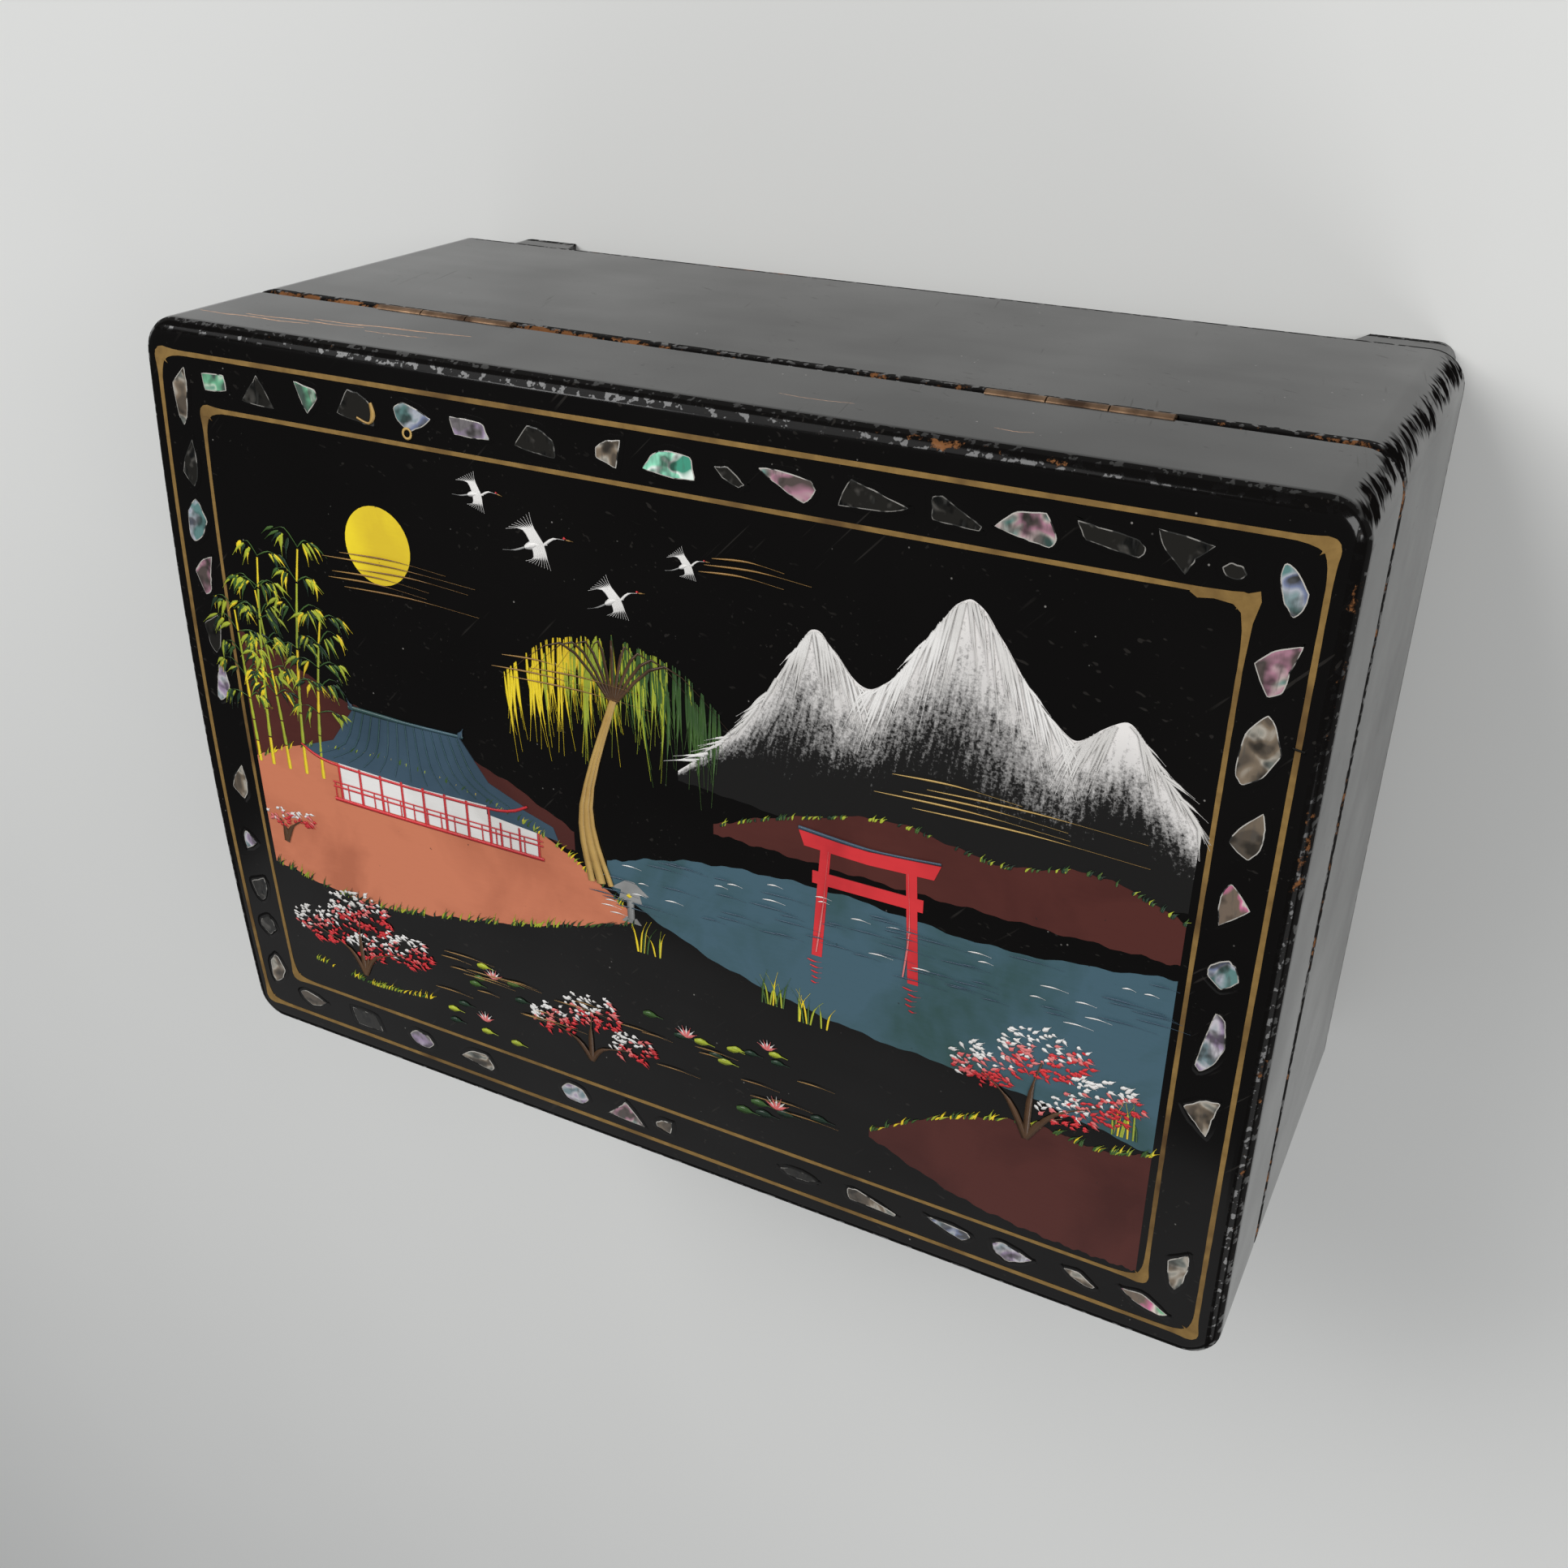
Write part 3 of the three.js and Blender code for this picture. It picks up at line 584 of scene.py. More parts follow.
def cylinder_piece(name, sides, radius, length, place, turn):
    deselect()
    turn = [math.radians(angle) for angle in turn]
    bpy.ops.mesh.primitive_cylinder_add(
        vertices=sides, radius=radius, depth=length, location=place, rotation=turn
    )
    return take_new(name)


def grid_piece(name, columns, rows, place):
    """A grid whose points go where place(u, v) says, with u and v from 0 to 1."""
    deselect()
    bpy.ops.mesh.primitive_grid_add(x_subdivisions=columns, y_subdivisions=rows, size=1.0)
    piece = take_new(name)
    for vertex in piece.data.vertices:
        vertex.co = place(vertex.co.x + 0.5, vertex.co.y + 0.5)
    return piece


def curve_piece(name, lines):
    """Tapered round lines as one mesh. Each line is a list of places with their radii."""
    curve = bpy.data.curves.new(name, "CURVE")
    curve.dimensions = "3D"
    curve.bevel_depth = MM
    curve.bevel_resolution = 0
    curve.use_fill_caps = True
    for line in lines:
        spline = curve.splines.new("POLY")
        spline.points.add(len(line) - 1)
        for point, (place, radius) in zip(spline.points, line):
            point.co = (*place, 1.0)
            point.radius = radius
    activate(link_piece(name, curve))
    bpy.ops.object.convert(target="MESH")
    return bpy.context.active_object


def apply_modifier(piece, kind, **settings):
    activate(piece)
    modifier = piece.modifiers.new(kind.lower(), kind)
    for label, value in settings.items():
        setattr(modifier, label, value)
    bpy.ops.object.modifier_apply(modifier=modifier.name)


def select_edges(piece, wanted):
    """Edit mode with only the edges that wanted(first, second) says yes to selected."""
    edit(piece, "EDGE", "DESELECT")
    mesh = bmesh.from_edit_mesh(piece.data)
    for edge in mesh.edges:
        edge.select_set(bool(wanted(edge.verts[0].co, edge.verts[1].co)))
    bmesh.update_edit_mesh(piece.data)


def bevel_selected(offset, segments, profile):
    bpy.ops.mesh.bevel(offset=offset, segments=segments, profile=profile, affect="EDGES")
    leave_edit()


def cut_rows(piece, low, high, step):
    """Cuts rows across a piece's depth, so that it can follow a curve."""
    edit(piece)
    count = max(1, round((high - low) / step))
    for index in range(1, count):
        place = (0, low + (high - low) * index / count, 0)
        bpy.ops.mesh.select_all(action="SELECT")
        bpy.ops.mesh.bisect(plane_co=place, plane_no=(0, 1, 0), use_fill=False)
    leave_edit()


def subtract(piece, cutters):
    for cutter in cutters:
        apply_modifier(piece, "BOOLEAN", operation="DIFFERENCE", solver="EXACT", object=cutter)
        bpy.data.objects.remove(cutter)


def set_material(piece, material):
    piece.data.materials.clear()
    piece.data.materials.append(material)


def smooth(piece, angle=35):
    activate(piece)
    bpy.ops.object.shade_smooth_by_angle(angle=math.radians(angle))


# The two lacquer shells


def upright(a, b):
    return abs(a.x - b.x) < SAME_PLACE and abs(a.y - b.y) < SAME_PLACE


def level_at(z):
    return lambda a, b: abs(a.z - z) < SAME_PLACE and abs(b.z - z) < SAME_PLACE


def outside_block(name, low_z, high_z, *eases):
    """A block as wide and deep as the box, with rounded upright corners and eased rims."""
    block = cube_piece(name, (-HALF_X, MID_Y - HALF_Y, low_z), (HALF_X, BACK_Y, high_z))
    select_edges(block, upright)
    bevel_selected(CORNER_RADIUS, CORNER_SEGMENTS, ROUND_PROFILE)
    for z, *ease in eases:
        select_edges(block, level_at(z))
        bevel_selected(*ease)
    return block


def inside_block(wall, low_z, high_z):
    """What leaves walls of one thickness when it is cut out."""
    x = HALF_X - wall
    y = HALF_Y - wall
    return cube_piece("cavity", (-x, MID_Y - y, low_z), (x, MID_Y + y, high_z))


def hinge_cutters(leaf_side, low_z, high_z):
    """Pockets for the leaves and barrels, a hair larger than the hinges themselves."""
    cutters = []
    grow = Vector((GLUE_GAP, GLUE_GAP, 0))
    for side in ("left", "right"):
        low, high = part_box(f"hinge_{side}_{leaf_side}_leaf")
        pin_low, pin_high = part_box(f"hinge_{side}_pin")
        middle = (pin_low + pin_high) / 2
        leaf_low = Vector((low.x, low.y, low_z)) - grow
        leaf_high = Vector((high.x, middle.y, high_z)) + grow
        cutters.append(cube_piece("leaf_pocket", leaf_low, leaf_high))
        barrel = (high.z - low.z) / 2 + GLUE_GAP
        length = pin_high.x - pin_low.x + 2 * GLUE_GAP
        turn = (0, 90, 0)
        cutters.append(cylinder_piece("barrel", POCKET_SIDES, barrel, length, middle, turn))
    return cutters


def finish_shell(shell, cutters, material):
    """Hollows a shell, and keeps its wide flat faces flat where they run into rounded edges."""
    subtract(shell, cutters)
    smooth(shell)
    apply_modifier(shell, "WEIGHTED_NORMAL", weight=100, keep_sharp=True)
    set_material(shell, material)


def build_case_shell():
    shell = outside_block(
        "case_shell", case_low.z, case_high.z,
        (case_low.z, BASE_EASE, EASE_SEGMENTS, ROUND_PROFILE),
        (case_high.z, SEAM_EASE, EASE_SEGMENTS, EASE_PROFILE),
    )
    cavity = inside_block(WALL, case_low.z - MM, case_high.z + MM)
    floor_seat = inside_block(WALL - FLOOR_RABBET, case_low.z - MM, FLOOR_TOP + GLUE_GAP)
    pockets = hinge_cutters("case", case_high.z - LEAF_POCKET, case_high.z + MM)
    finish_shell(shell, [cavity, floor_seat, *pockets], case_lacquer)
    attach(shell, "case")
    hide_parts("case_front", "case_back", "case_left", "case_right")


def build_lid_shell():
    edge_top = TOP_Z - CROWN
    shell = outside_block(
        "lid_shell", lid_low.z, edge_top,
        (lid_low.z, SEAM_EASE, EASE_SEGMENTS, EASE_PROFILE),
        (edge_top, LID_EDGE_RADIUS, LID_EDGE_SEGMENTS, ROUND_PROFILE),
    )
    cut_rows(shell, MID_Y - HALF_Y, BACK_Y, CROWN_STEP)
    start = panel_low.z
    for vertex in shell.data.vertices:
        share = (vertex.co.z - start) / (edge_top - LID_EDGE_RADIUS - start)
        vertex.co.z += min(max(share, 0.0), 1.0) * (CROWN - crown_drop(vertex.co.y))
    cavity = inside_block(WALL, lid_low.z - MM, panel_low.z)
    pockets = hinge_cutters("lid", lid_low.z - MM, lid_low.z + LEAF_POCKET)
    finish_shell(shell, [cavity, *pockets], lid_lacquer)
    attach(shell, "lid")
    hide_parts("lid_front", "lid_back", "lid_left", "lid_right", "lid_panel")


def dress_nodes():
    """Materials for the CAD nodes that stay."""
    slots = {
        "black_lacquer": foot_lacquer,
        "red_lacquer": red_lacquer,
        "velvet": red_velvet,
        "bare_wood": bare_wood,
        "brass": aged_brass,
        "mirror": mirror_silver,
    }
    for row in frame["record"]["subparts"]:
        set_material(frame["nodes"][row["node"]], slots[row["material_slot"]])


build_case_shell()
build_lid_shell()
dress_nodes()


# Gold lines


def along(points, share):
    """A point on a soft curve through the given ones."""
    place = min(max(share, 0.0), 1.0) * (len(points) - 1)
    index = min(int(place), len(points) - 2)
    t = place - index
    four = [points[min(max(index + step, 0), len(points) - 1)] for step in (-1, 0, 1, 2)]
    return [
        0.5 * (
            2 * b + (c - a) * t + (2 * a - 5 * b + 4 * c - d) * t * t
            + (3 * b - a - 3 * c + d) * t**3
        )
        for a, b, c, d in zip(*four)
    ]


def follow_crown(piece, lift, step):
    """Lays a flat piece over the lid's crown."""
    ys = [vertex.co.y for vertex in piece.data.vertices]
    cut_rows(piece, min(ys), max(ys), step)
    for vertex in piece.data.vertices:
        vertex.co.z = TOP_Z - crown_drop(vertex.co.y) + lift


def painted_faces(name, points, faces, lift):
    """A thin layer of gold that follows the lid's crown. Points are in millimetres."""
    mesh = bpy.data.meshes.new(name)
    mesh.from_pydata([(x * MM, MID_Y + y * MM, 0.0) for x, y in points], [], faces)
    piece = link_piece(name, mesh)
    follow_crown(piece, lift, CROWN_STEP)
    apply_modifier(piece, "SOLIDIFY", thickness=PAINT_THICKNESS, offset=0.0)
    set_material(piece, gold_paint)
    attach(piece, "lid")


# The flourish at a corner in millimetres: how far along the line it reaches, how much of it
# lies inside and outside the line, and how far its outer corner is rounded off
FLOURISH_REACH = 2.7
FLOURISH_INSIDE = 1.3
FLOURISH_OUTSIDE = 0.45
CORNER_ROUNDING = 0.55
CORNER_ROUNDING_REACH = 0.9
UNSTEADY = 0.08  # how much the width of the line changes
STEADY_NEAR = 8  # closer to a corner than this it changes less


def gold_rectangle(name, half_x, half_y, width, seed, flourish):
    """One hand-ruled line round the lid that swells into a rounded flourish at each corner."""
    chance = random.Random(seed)
    outer = []
    inner = []
    corners = [(-half_x, -half_y), (half_x, -half_y), (half_x, half_y), (-half_x, half_y)]
    swells = [flourish * chance.uniform(0.7, 1.3) for _ in corners]
    for index, (ax, ay) in enumerate(corners):
        following = (index + 1) % len(corners)
        bx, by = corners[following]
        length = math.hypot(bx - ax, by - ay)
        tx, ty = (bx - ax) / length, (by - ay) / length
        nx, ny = ty, -tx
        for step in range(LINE_STEPS):
            share = 0.5 - 0.5 * math.cos(math.pi * step / LINE_STEPS)
            x = ax + (bx - ax) * share
            y = ay + (by - ay) * share
            near = min(share, 1 - share) * length
            first_half = share < 0.5
            swell = swells[index if first_half else following]
            swell *= math.exp(-((near / FLOURISH_REACH) ** 1.5))
            change = chance.uniform(-UNSTEADY, UNSTEADY) * min(near / STEADY_NEAR, 1)
            half = width / 2 * (1 + change)
            depth = half + swell * FLOURISH_INSIDE
            if step == 0:
                px, py = corners[index - 1]
                before = math.hypot(ax - px, ay - py)
                mx, my = nx + (ay - py) / before, ny - (ax - px) / before
                outer.append((x + mx * half * 0.5, y + my * half * 0.5))
                inner.append((x - mx * depth, y - my * depth))
            else:
                rounding = CORNER_ROUNDING * math.exp(-((near / CORNER_ROUNDING_REACH) ** 2))
                reach = half + swell * FLOURISH_OUTSIDE - rounding
                slide = (1 if first_half else -1) * (max(near, depth) - near)
                outer.append((x + nx * reach, y + ny * reach))
                inner.append((x - nx * depth + tx * slide, y - ny * depth + ty * slide))
    count = len(outer)
    faces = [(i, (i + 1) % count, count + (i + 1) % count, count + i) for i in range(count)]
    painted_faces(name, outer + inner, faces, LINE_LIFT)


# A second, thicker stroke of gold over the inner line at one corner, and its middle
BRACKET = [
    (101.2, 73.9), (106.5, 74.1), (110.2, 74.2), (112.1, 74.9), (112.5, 73.2), (111.7, 69.5),
    (111.4, 63.0), (111.2, 58.0), (110.6, 62.5), (110.2, 68.0), (109.6, 70.9), (108.2, 72.1),
    (104.6, 72.5), (102.4, 72.1), (101.1, 72.9),
]
BRACKET_MIDDLE = (110.4, 73.2)


def build_bracket():
    count = len(BRACKET)
    faces = [(count, i, (i + 1) % count) for i in range(count)]
    painted_faces("gold_bracket", BRACKET + [BRACKET_MIDDLE], faces, BRACKET_LIFT)


gold_rectangle("gold_line_outer", *OUTER_LINE, OUTER_WIDTH, seed=3, flourish=1.5)
gold_rectangle("gold_line_inner", *INNER_LINE, INNER_WIDTH, seed=5, flourish=1.2)
build_bracket()


# Scratches through the lacquer on the back of the lid

# Each scratch: x and z of its points in millimetres, z up from the lid's rim, and its width
BACK_SCRATCHES = [
    ([(-119, 20.6), (-112, 20.9), (-106, 20.1), (-97, 20.3), (-90, 19.2)], 0.6),
    ([(-108, 18.6), (-101, 18.4), (-93, 17.4), (-84, 17.3), (-78, 16.2)], 0.7),
    ([(-92, 15.4), (-83, 15.3), (-74, 13.9), (-65, 13.3), (-54, 11.8)], 0.8),
    ([(-76, 18.4), (-68, 18.1), (-61, 17.2)], 0.4),
    ([(62, 20.5), (66, 21.0), (69, 20.0)], 0.25),
    ([(20, 19.0), (27, 19.6), (35, 18.6)], 0.22),
]


def build_back_scratches():
    lines = []
    chance = random.Random(SCRATCH_SEED)
    for points, width in BACK_SCRATCHES:
        line = []
        for step in range(SCRATCH_STEPS + 1):
            share = step / SCRATCH_STEPS
            px, pz = along(points, share)
            place = (px * MM, BACK_Y, lid_low.z + (pz + chance.uniform(-0.12, 0.12)) * MM)
            taper = math.sin(math.pi * (0.04 + 0.92 * share)) ** 0.5
            line.append((place, width / 2 * taper * chance.uniform(0.6, 1.2)))
        lines.append(line)
    piece = curve_piece("back_scratches", lines)
    for vertex in piece.data.vertices:
        vertex.co.y = BACK_Y + (vertex.co.y - BACK_Y) * SCRATCH_FLATNESS
    set_material(piece, scratched_wood)
    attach(piece, "lid")


# Shell border: chips of shell under the lacquer, each in a low collar of it

CHIP_OUTLINES = {
    "block": [(-0.5, 0.42), (0.42, 0.5), (0.5, -0.36), (-0.4, -0.5)],
    "tent": [(-0.5, -0.4), (0.5, -0.5), (0.1, 0.34), (0.0, 0.5), (-0.08, 0.3)],
    "wedge": [(-0.5, 0.5), (0.4, 0.34), (0.5, 0.05), (0.02, -0.5), (-0.22, -0.12)],
    "sail": [(-0.5, -0.28), (-0.18, 0.5), (0.14, 0.42), (0.46, 0.1), (0.5, -0.5), (0.1, -0.44)],
    "shard": [(-0.5, 0.28), (-0.24, 0.5), (0.5, 0.06), (0.25, -0.28), (-0.1, -0.5), (-0.42, -0.18)],
    "plank": [(-0.5, 0.5), (0.32, 0.42), (0.5, -0.46), (-0.38, -0.5)],
    "tooth": [(-0.5, 0.12), (-0.1, 0.4), (0.5, 0.5), (0.34, -0.5), (-0.46, -0.25)],
    "half_moon": [(-0.5, -0.34), (-0.3, 0.3), (-0.05, 0.5), (0.4, 0.42), (0.5, -0.46), (0.0, -0.5)],
    "flake": [(-0.5, 0.42), (-0.05, 0.5), (0.5, -0.28), (0.3, -0.5), (-0.22, -0.12)],
    "club": [
        (-0.5, 0.44), (-0.3, 0.5), (0.42, 0.32), (0.5, -0.05), (0.32, -0.5), (0.08, -0.3),
        (-0.3, 0.14),
    ],
    "fin": [(-0.5, -0.42), (-0.34, 0.5), (-0.1, 0.34), (0.5, -0.12), (0.26, -0.34)],
    "arrow": [(-0.5, 0.4), (-0.3, 0.5), (0.5, -0.3), (0.44, -0.5), (-0.46, -0.38)],
    "ear": [(-0.5, -0.14), (-0.16, 0.4), (0.3, 0.5), (0.5, -0.18), (0.4, -0.5), (0.0, -0.36)],
    "bone": [(-0.5, 0.5), (-0.2, 0.4), (0.36, 0.2), (0.5, -0.1), (0.42, -0.5), (-0.35, -0.18)],
    "funnel": [(-0.5, 0.5), (0.5, 0.3), (0.2, -0.08), (0.06, -0.5), (-0.34, 0.02)],
    "pear": [
        (-0.4, 0.5), (-0.06, 0.44), (0.5, 0.0), (0.4, -0.34), (0.1, -0.5), (-0.28, -0.2),
        (-0.5, 0.28),
    ],
    "gem": [(0.5, 0.5), (-0.1, 0.34), (-0.5, 0.05), (-0.1, -0.5), (0.24, -0.36), (0.3, 0.0)],
    "long_gem": [
        (0.0, 0.5), (0.2, 0.43), (0.5, 0.02), (0.15, -0.35), (-0.3, -0.5), (-0.5, -0.35),
        (-0.42, 0.2),
    ],
    "petal": [(0.36, 0.5), (0.5, 0.1), (0.42, -0.3), (0.12, -0.5), (-0.5, -0.22), (-0.28, 0.08)],
    "beak": [(-0.16, 0.5), (0.5, 0.0), (-0.4, -0.5), (-0.5, -0.05), (-0.4, 0.36)],
    "nut": [(0.1, 0.5), (0.36, 0.3), (0.5, -0.12), (0.0, -0.5), (-0.5, -0.12), (-0.44, 0.22)],
    "blade": [
        (-0.05, 0.5), (0.35, 0.42), (0.5, -0.02), (0.2, -0.33), (-0.25, -0.5), (-0.5, -0.42),
        (-0.3, 0.05),
    ],
    "thorn": [(0.5, 0.5), (0.0, 0.44), (-0.5, 0.15), (-0.1, -0.2), (0.24, -0.5), (0.34, 0.0)],
    "tip": [(0.4, 0.5), (0.5, 0.2), (0.3, -0.3), (0.0, -0.5), (-0.3, -0.35), (-0.5, 0.2)],
    "seed": [(-0.5, 0.1), (-0.2, 0.5), (0.3, 0.38), (0.5, -0.1), (0.2, -0.5), (-0.3, -0.4)],
}

# Each chip: x, y, size along x, size along y, outline, tone
CHIPS = [
    (-106.8, 79.4, 6.8, 4.0, "block", "green"), (-95.0, 79.2, 9.2, 6.6, "tent", "dark"),
    (-81.8, 79.4, 6.2, 6.4, "wedge", "green"), (-69.1, 79.4, 9.8, 6.8, "sail", "dark"),
    (-54.6, 79.2, 9.4, 5.8, "shard", "blue"), (-40.8, 79.0, 9.8, 3.6, "plank", "violet"),
    (-25.6, 78.8, 9.6, 5.6, "sail", "dark"), (-9.1, 79.0, 5.6, 5.6, "tooth", "tan"),
    (4.0, 78.8, 11.6, 5.0, "half_moon", "bright_green"), (16.7, 78.4, 6.6, 3.6, "flake", "dark"),
    (28.2, 78.6, 11.8, 5.4, "club", "pink"), (45.1, 79.0, 13.8, 5.6, "fin", "dark"),
    (60.5, 79.0, 9.6, 5.2, "arrow", "dark"), (72.8, 78.7, 11.4, 6.0, "ear", "pink"),
    (87.3, 79.0, 12.2, 4.6, "bone", "dark"), (99.4, 78.8, 9.8, 7.0, "funnel", "dark"),
    (107.6, 77.4, 4.2, 2.6, "seed", "dark"), (117.0, 75.8, 5.0, 8.6, "pear", "blue"),
    (116.5, 62.6, 7.4, 9.8, "gem", "pink"), (116.3, 48.2, 7.2, 13.4, "long_gem", "tan"),
    (116.5, 32.9, 5.8, 9.6, "petal", "tan"), (116.5, 18.7, 5.6, 9.0, "beak", "rainbow"),
    (116.6, 4.8, 5.8, 6.6, "nut", "blue"), (116.6, -10.3, 5.0, 13.8, "blade", "violet"),
    (116.6, -27.3, 6.8, 9.0, "thorn", "tan"), (117.0, -67.6, 4.4, 11.0, "tip", "tan"),
    (111.4, -79.4, 10.4, 4.6, "flake", "rainbow"), (97.8, -79.3, 7.2, 3.6, "flake", "tan"),
    (83.1, -79.4, 9.2, 5.2, "shard", "violet"), (68.7, -78.9, 10.4, 3.6, "club", "blue"),
    (50.8, -78.9, 11.8, 4.2, "arrow", "tan"), (33.0, -78.8, 9.4, 2.6, "seed", "dark"),
    (-1.6, -78.8, 4.4, 3.8, "tooth", "tan"), (-12.0, -78.6, 10.2, 6.0, "tent", "pink"),
    (-26.2, -78.8, 7.8, 5.6, "seed", "violet"), (-54.6, -79.0, 10.0, 4.8, "ear", "tan"),
    (-71.5, -79.2, 7.4, 4.8, "seed", "violet"), (-88.6, -79.2, 9.2, 5.2, "plank", "dark"),
    (-106.0, -79.0, 8.6, 4.6, "shard", "tan"), (-116.6, -72.6, 5.0, 9.4, "long_gem", "tan"),
    (-116.5, -58.8, 5.0, 6.0, "nut", "dark"), (-116.6, -47.5, 5.0, 7.4, "tip", "dark"),
    (-116.5, -33.6, 4.2, 5.6, "beak", "violet"), (-116.5, -16.7, 5.0, 9.8, "petal", "tan"),
    (-116.4, 9.1, 4.6, 9.6, "blade", "violet"), (-116.5, 21.5, 5.2, 10.0, "tip", "dark"),
    (-116.5, 35.5, 5.8, 9.8, "gem", "pink"), (-116.5, 48.0, 6.0, 10.2, "long_gem", "blue"),
    (-116.6, 61.1, 4.6, 11.0, "petal", "dark"), (-116.7, 75.4, 4.4, 13.0, "tip", "tan"),
]

# Each tone: its body, its main gleam, its palest part and its second gleam
CHIP_TONES = {
    "green": [(0.060, 0.095, 0.075), (0.16, 0.44, 0.26), (0.46, 0.60, 0.46), (0.05, 0.22, 0.15)],
    "bright_green": [(0.18, 0.44, 0.32), (0.3, 0.76, 0.52), (0.82, 0.90, 0.82), (0.06, 0.3, 0.20)],
    "pink": [(0.085, 0.066, 0.060), (0.40, 0.20, 0.26), (0.48, 0.40, 0.37), (0.11, 0.24, 0.21)],
    "rainbow": [(0.16, 0.12, 0.09), (0.66, 0.17, 0.33), (0.74, 0.66, 0.58), (0.16, 0.46, 0.24)],
    "blue": [(0.070, 0.072, 0.078), (0.17, 0.20, 0.31), (0.40, 0.42, 0.46), (0.11, 0.22, 0.21)],
    "violet": [(0.16, 0.145, 0.15), (0.33, 0.25, 0.37), (0.54, 0.51, 0.54), (0.18, 0.25, 0.27)],
    "tan": [(0.090, 0.072, 0.055), (0.20, 0.155, 0.11), (0.40, 0.36, 0.30), (0.16, 0.17, 0.15)],
    "dark": [
        (0.004, 0.004, 0.004), (0.010, 0.010, 0.009), (0.075, 0.070, 0.062), (0.007, 0.007, 0.007),
    ],
}

# The collar's height and its rings, and the chip's: how far each ring is drawn in and raised
COLLAR_HEIGHT = 0.02
COLLAR_RINGS = ((0.50, 0.07), (0.40, 0.02), (0.30, -0.08))
COLLAR_WIDTH = 1.2
CHIP_HEIGHT = 0.09
CHIP_RINGS = ((0.20, 0.05),)


def chip_corners(chip, grow, seed, corner_share=0.96):
    """The corners of one chip in millimetres, each moved a little, as broken shell has them."""
    x, y, length, width, outline, _ = chip
    chance = random.Random(seed)
    shape = CHIP_OUTLINES[outline]
    corners = []
    for index, (u, v) in enumerate(shape):
        nu, nv = shape[(index + 1) % len(shape)]
        for share in (0.0, 0.18, 0.5, 0.82):
            px = (u + (nu - u) * share) * length
            py = (v + (nv - v) * share) * width
            soften = corner_share if share == 0.0 else 1.0
            bulge = 0.16 * math.sin(math.pi * share) * chance.uniform(-0.9, 1.0)
            far = math.hypot(px, py)
            reach = (far * soften + bulge + grow) / far
            corners.append((x + px * reach, y + py * reach))
    return corners


def outline_faces(name, outlines):
    """Flat faces, one for each outline, on the lid's crown."""
    mesh = bmesh.new()
    for outline in outlines:
        face = mesh.faces.new([mesh.verts.new(on_lid(px, py)) for px, py in outline])
        face.normal_update()
        if face.normal.z < 0:
            face.normal_flip()
    data = bpy.data.meshes.new(name)
    mesh.to_mesh(data)
    mesh.free()
    return link_piece(name, data)


def raised_faces(name, outlines, height, rings):
    """Faces raised from the lid, with one inset ring after another. It stays in edit mode.

    No ring is drawn in by more than its width, so that sharp corners stay inside the outline."""
    piece = outline_faces(name, outlines)
    edit(piece)
    bpy.ops.mesh.extrude_region_move(TRANSFORM_OT_translate={"value": (0, 0, height * MM)})
    for width, rise in rings:
        bpy.ops.mesh.inset(
            thickness=width * MM, use_individual=True, use_boundary=True, use_even_offset=False
        )
        bpy.ops.transform.translate(value=(0, 0, rise * MM))
    return piece


def build_chip_collars():
    """Low rims where the lacquer was rubbed back from the shell."""
    outlines = [chip_corners(chip, COLLAR_WIDTH, index, 0.94) for index, chip in enumerate(CHIPS)]
    collars = raised_faces("shell_collars", outlines, COLLAR_HEIGHT, COLLAR_RINGS)
    leave_edit()
    smooth(collars, SOFT_ANGLE)
    set_material(collars, lid_lacquer)
    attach(collars, "lid")


def build_chips(tone):
    outlines = [
        chip_corners(chip, 0.0, index) for index, chip in enumerate(CHIPS) if chip[5] == tone
    ]
    chips = raised_faces(f"shell_chips_{tone}", outlines, CHIP_HEIGHT, CHIP_RINGS)
    dark = tone == "dark"
    rim_color, cover = ((0.24, 0.23, 0.21), 0.46) if dark else ((0.44, 0.42, 0.38), 0.54)
    chips.data.materials.append(shell_rim_material(f"shell_rim_{tone}", rim_color, cover))
    chips.data.materials.append(shell_material(f"shell_{tone}", CHIP_TONES[tone], dark))
    chips.active_material_index = 1
    bpy.ops.object.material_slot_assign()
    leave_edit()
    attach(chips, "lid")


build_back_scratches()
build_chip_collars()
for tone in CHIP_TONES:
    build_chips(tone)


# The picture: flat grounds first, then brushwork


def finish_flat_paint(piece, material, lift):
    apply_modifier(piece, "SOLIDIFY", thickness=(lift + PAINT_SINK) * MM, offset=-1.0)
    set_material(piece, material)
    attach(piece, "lid")


def ground(name, upper, lower, material, lift, columns=96, rows=22, waver=0.25):
    """A flat painted area between two soft lines, as a grid that follows the crown."""

    def place(u, v):
        ux, uy = along(upper, u)
        lx, ly = along(lower, u)
        shake = waver * (math.sin(u * 61 + lift) + 0.6 * math.sin(u * 143 + 2))
        return on_lid(lx + (ux - lx) * v, ly + (uy - ly) * v + shake * (2 * v - 1), lift * MM)

    finish_flat_paint(grid_piece(name, columns, rows, place), material, lift)


def patches_of_paint(name, outlines, color, lift):
    """Flat painted shapes, each with its own corners in millimetres."""
    piece = outline_faces(name, outlines)
    edit(piece)
    bpy.ops.mesh.quads_convert_to_tris()
    leave_edit()
    follow_crown(piece, lift * MM, PATCH_STEP)
    finish_flat_paint(piece, paints[color], lift)


strokes = {name: [] for name in PAINTS}
brush = random.Random(BRUSH_SEED)


def stroke(color, points, width, root=0.35, tip=0.08, steps=6):
    """One brush stroke: a soft line that swells after its root and thins to its tip."""
    strokes[color].append((points, width, root, tip, steps))


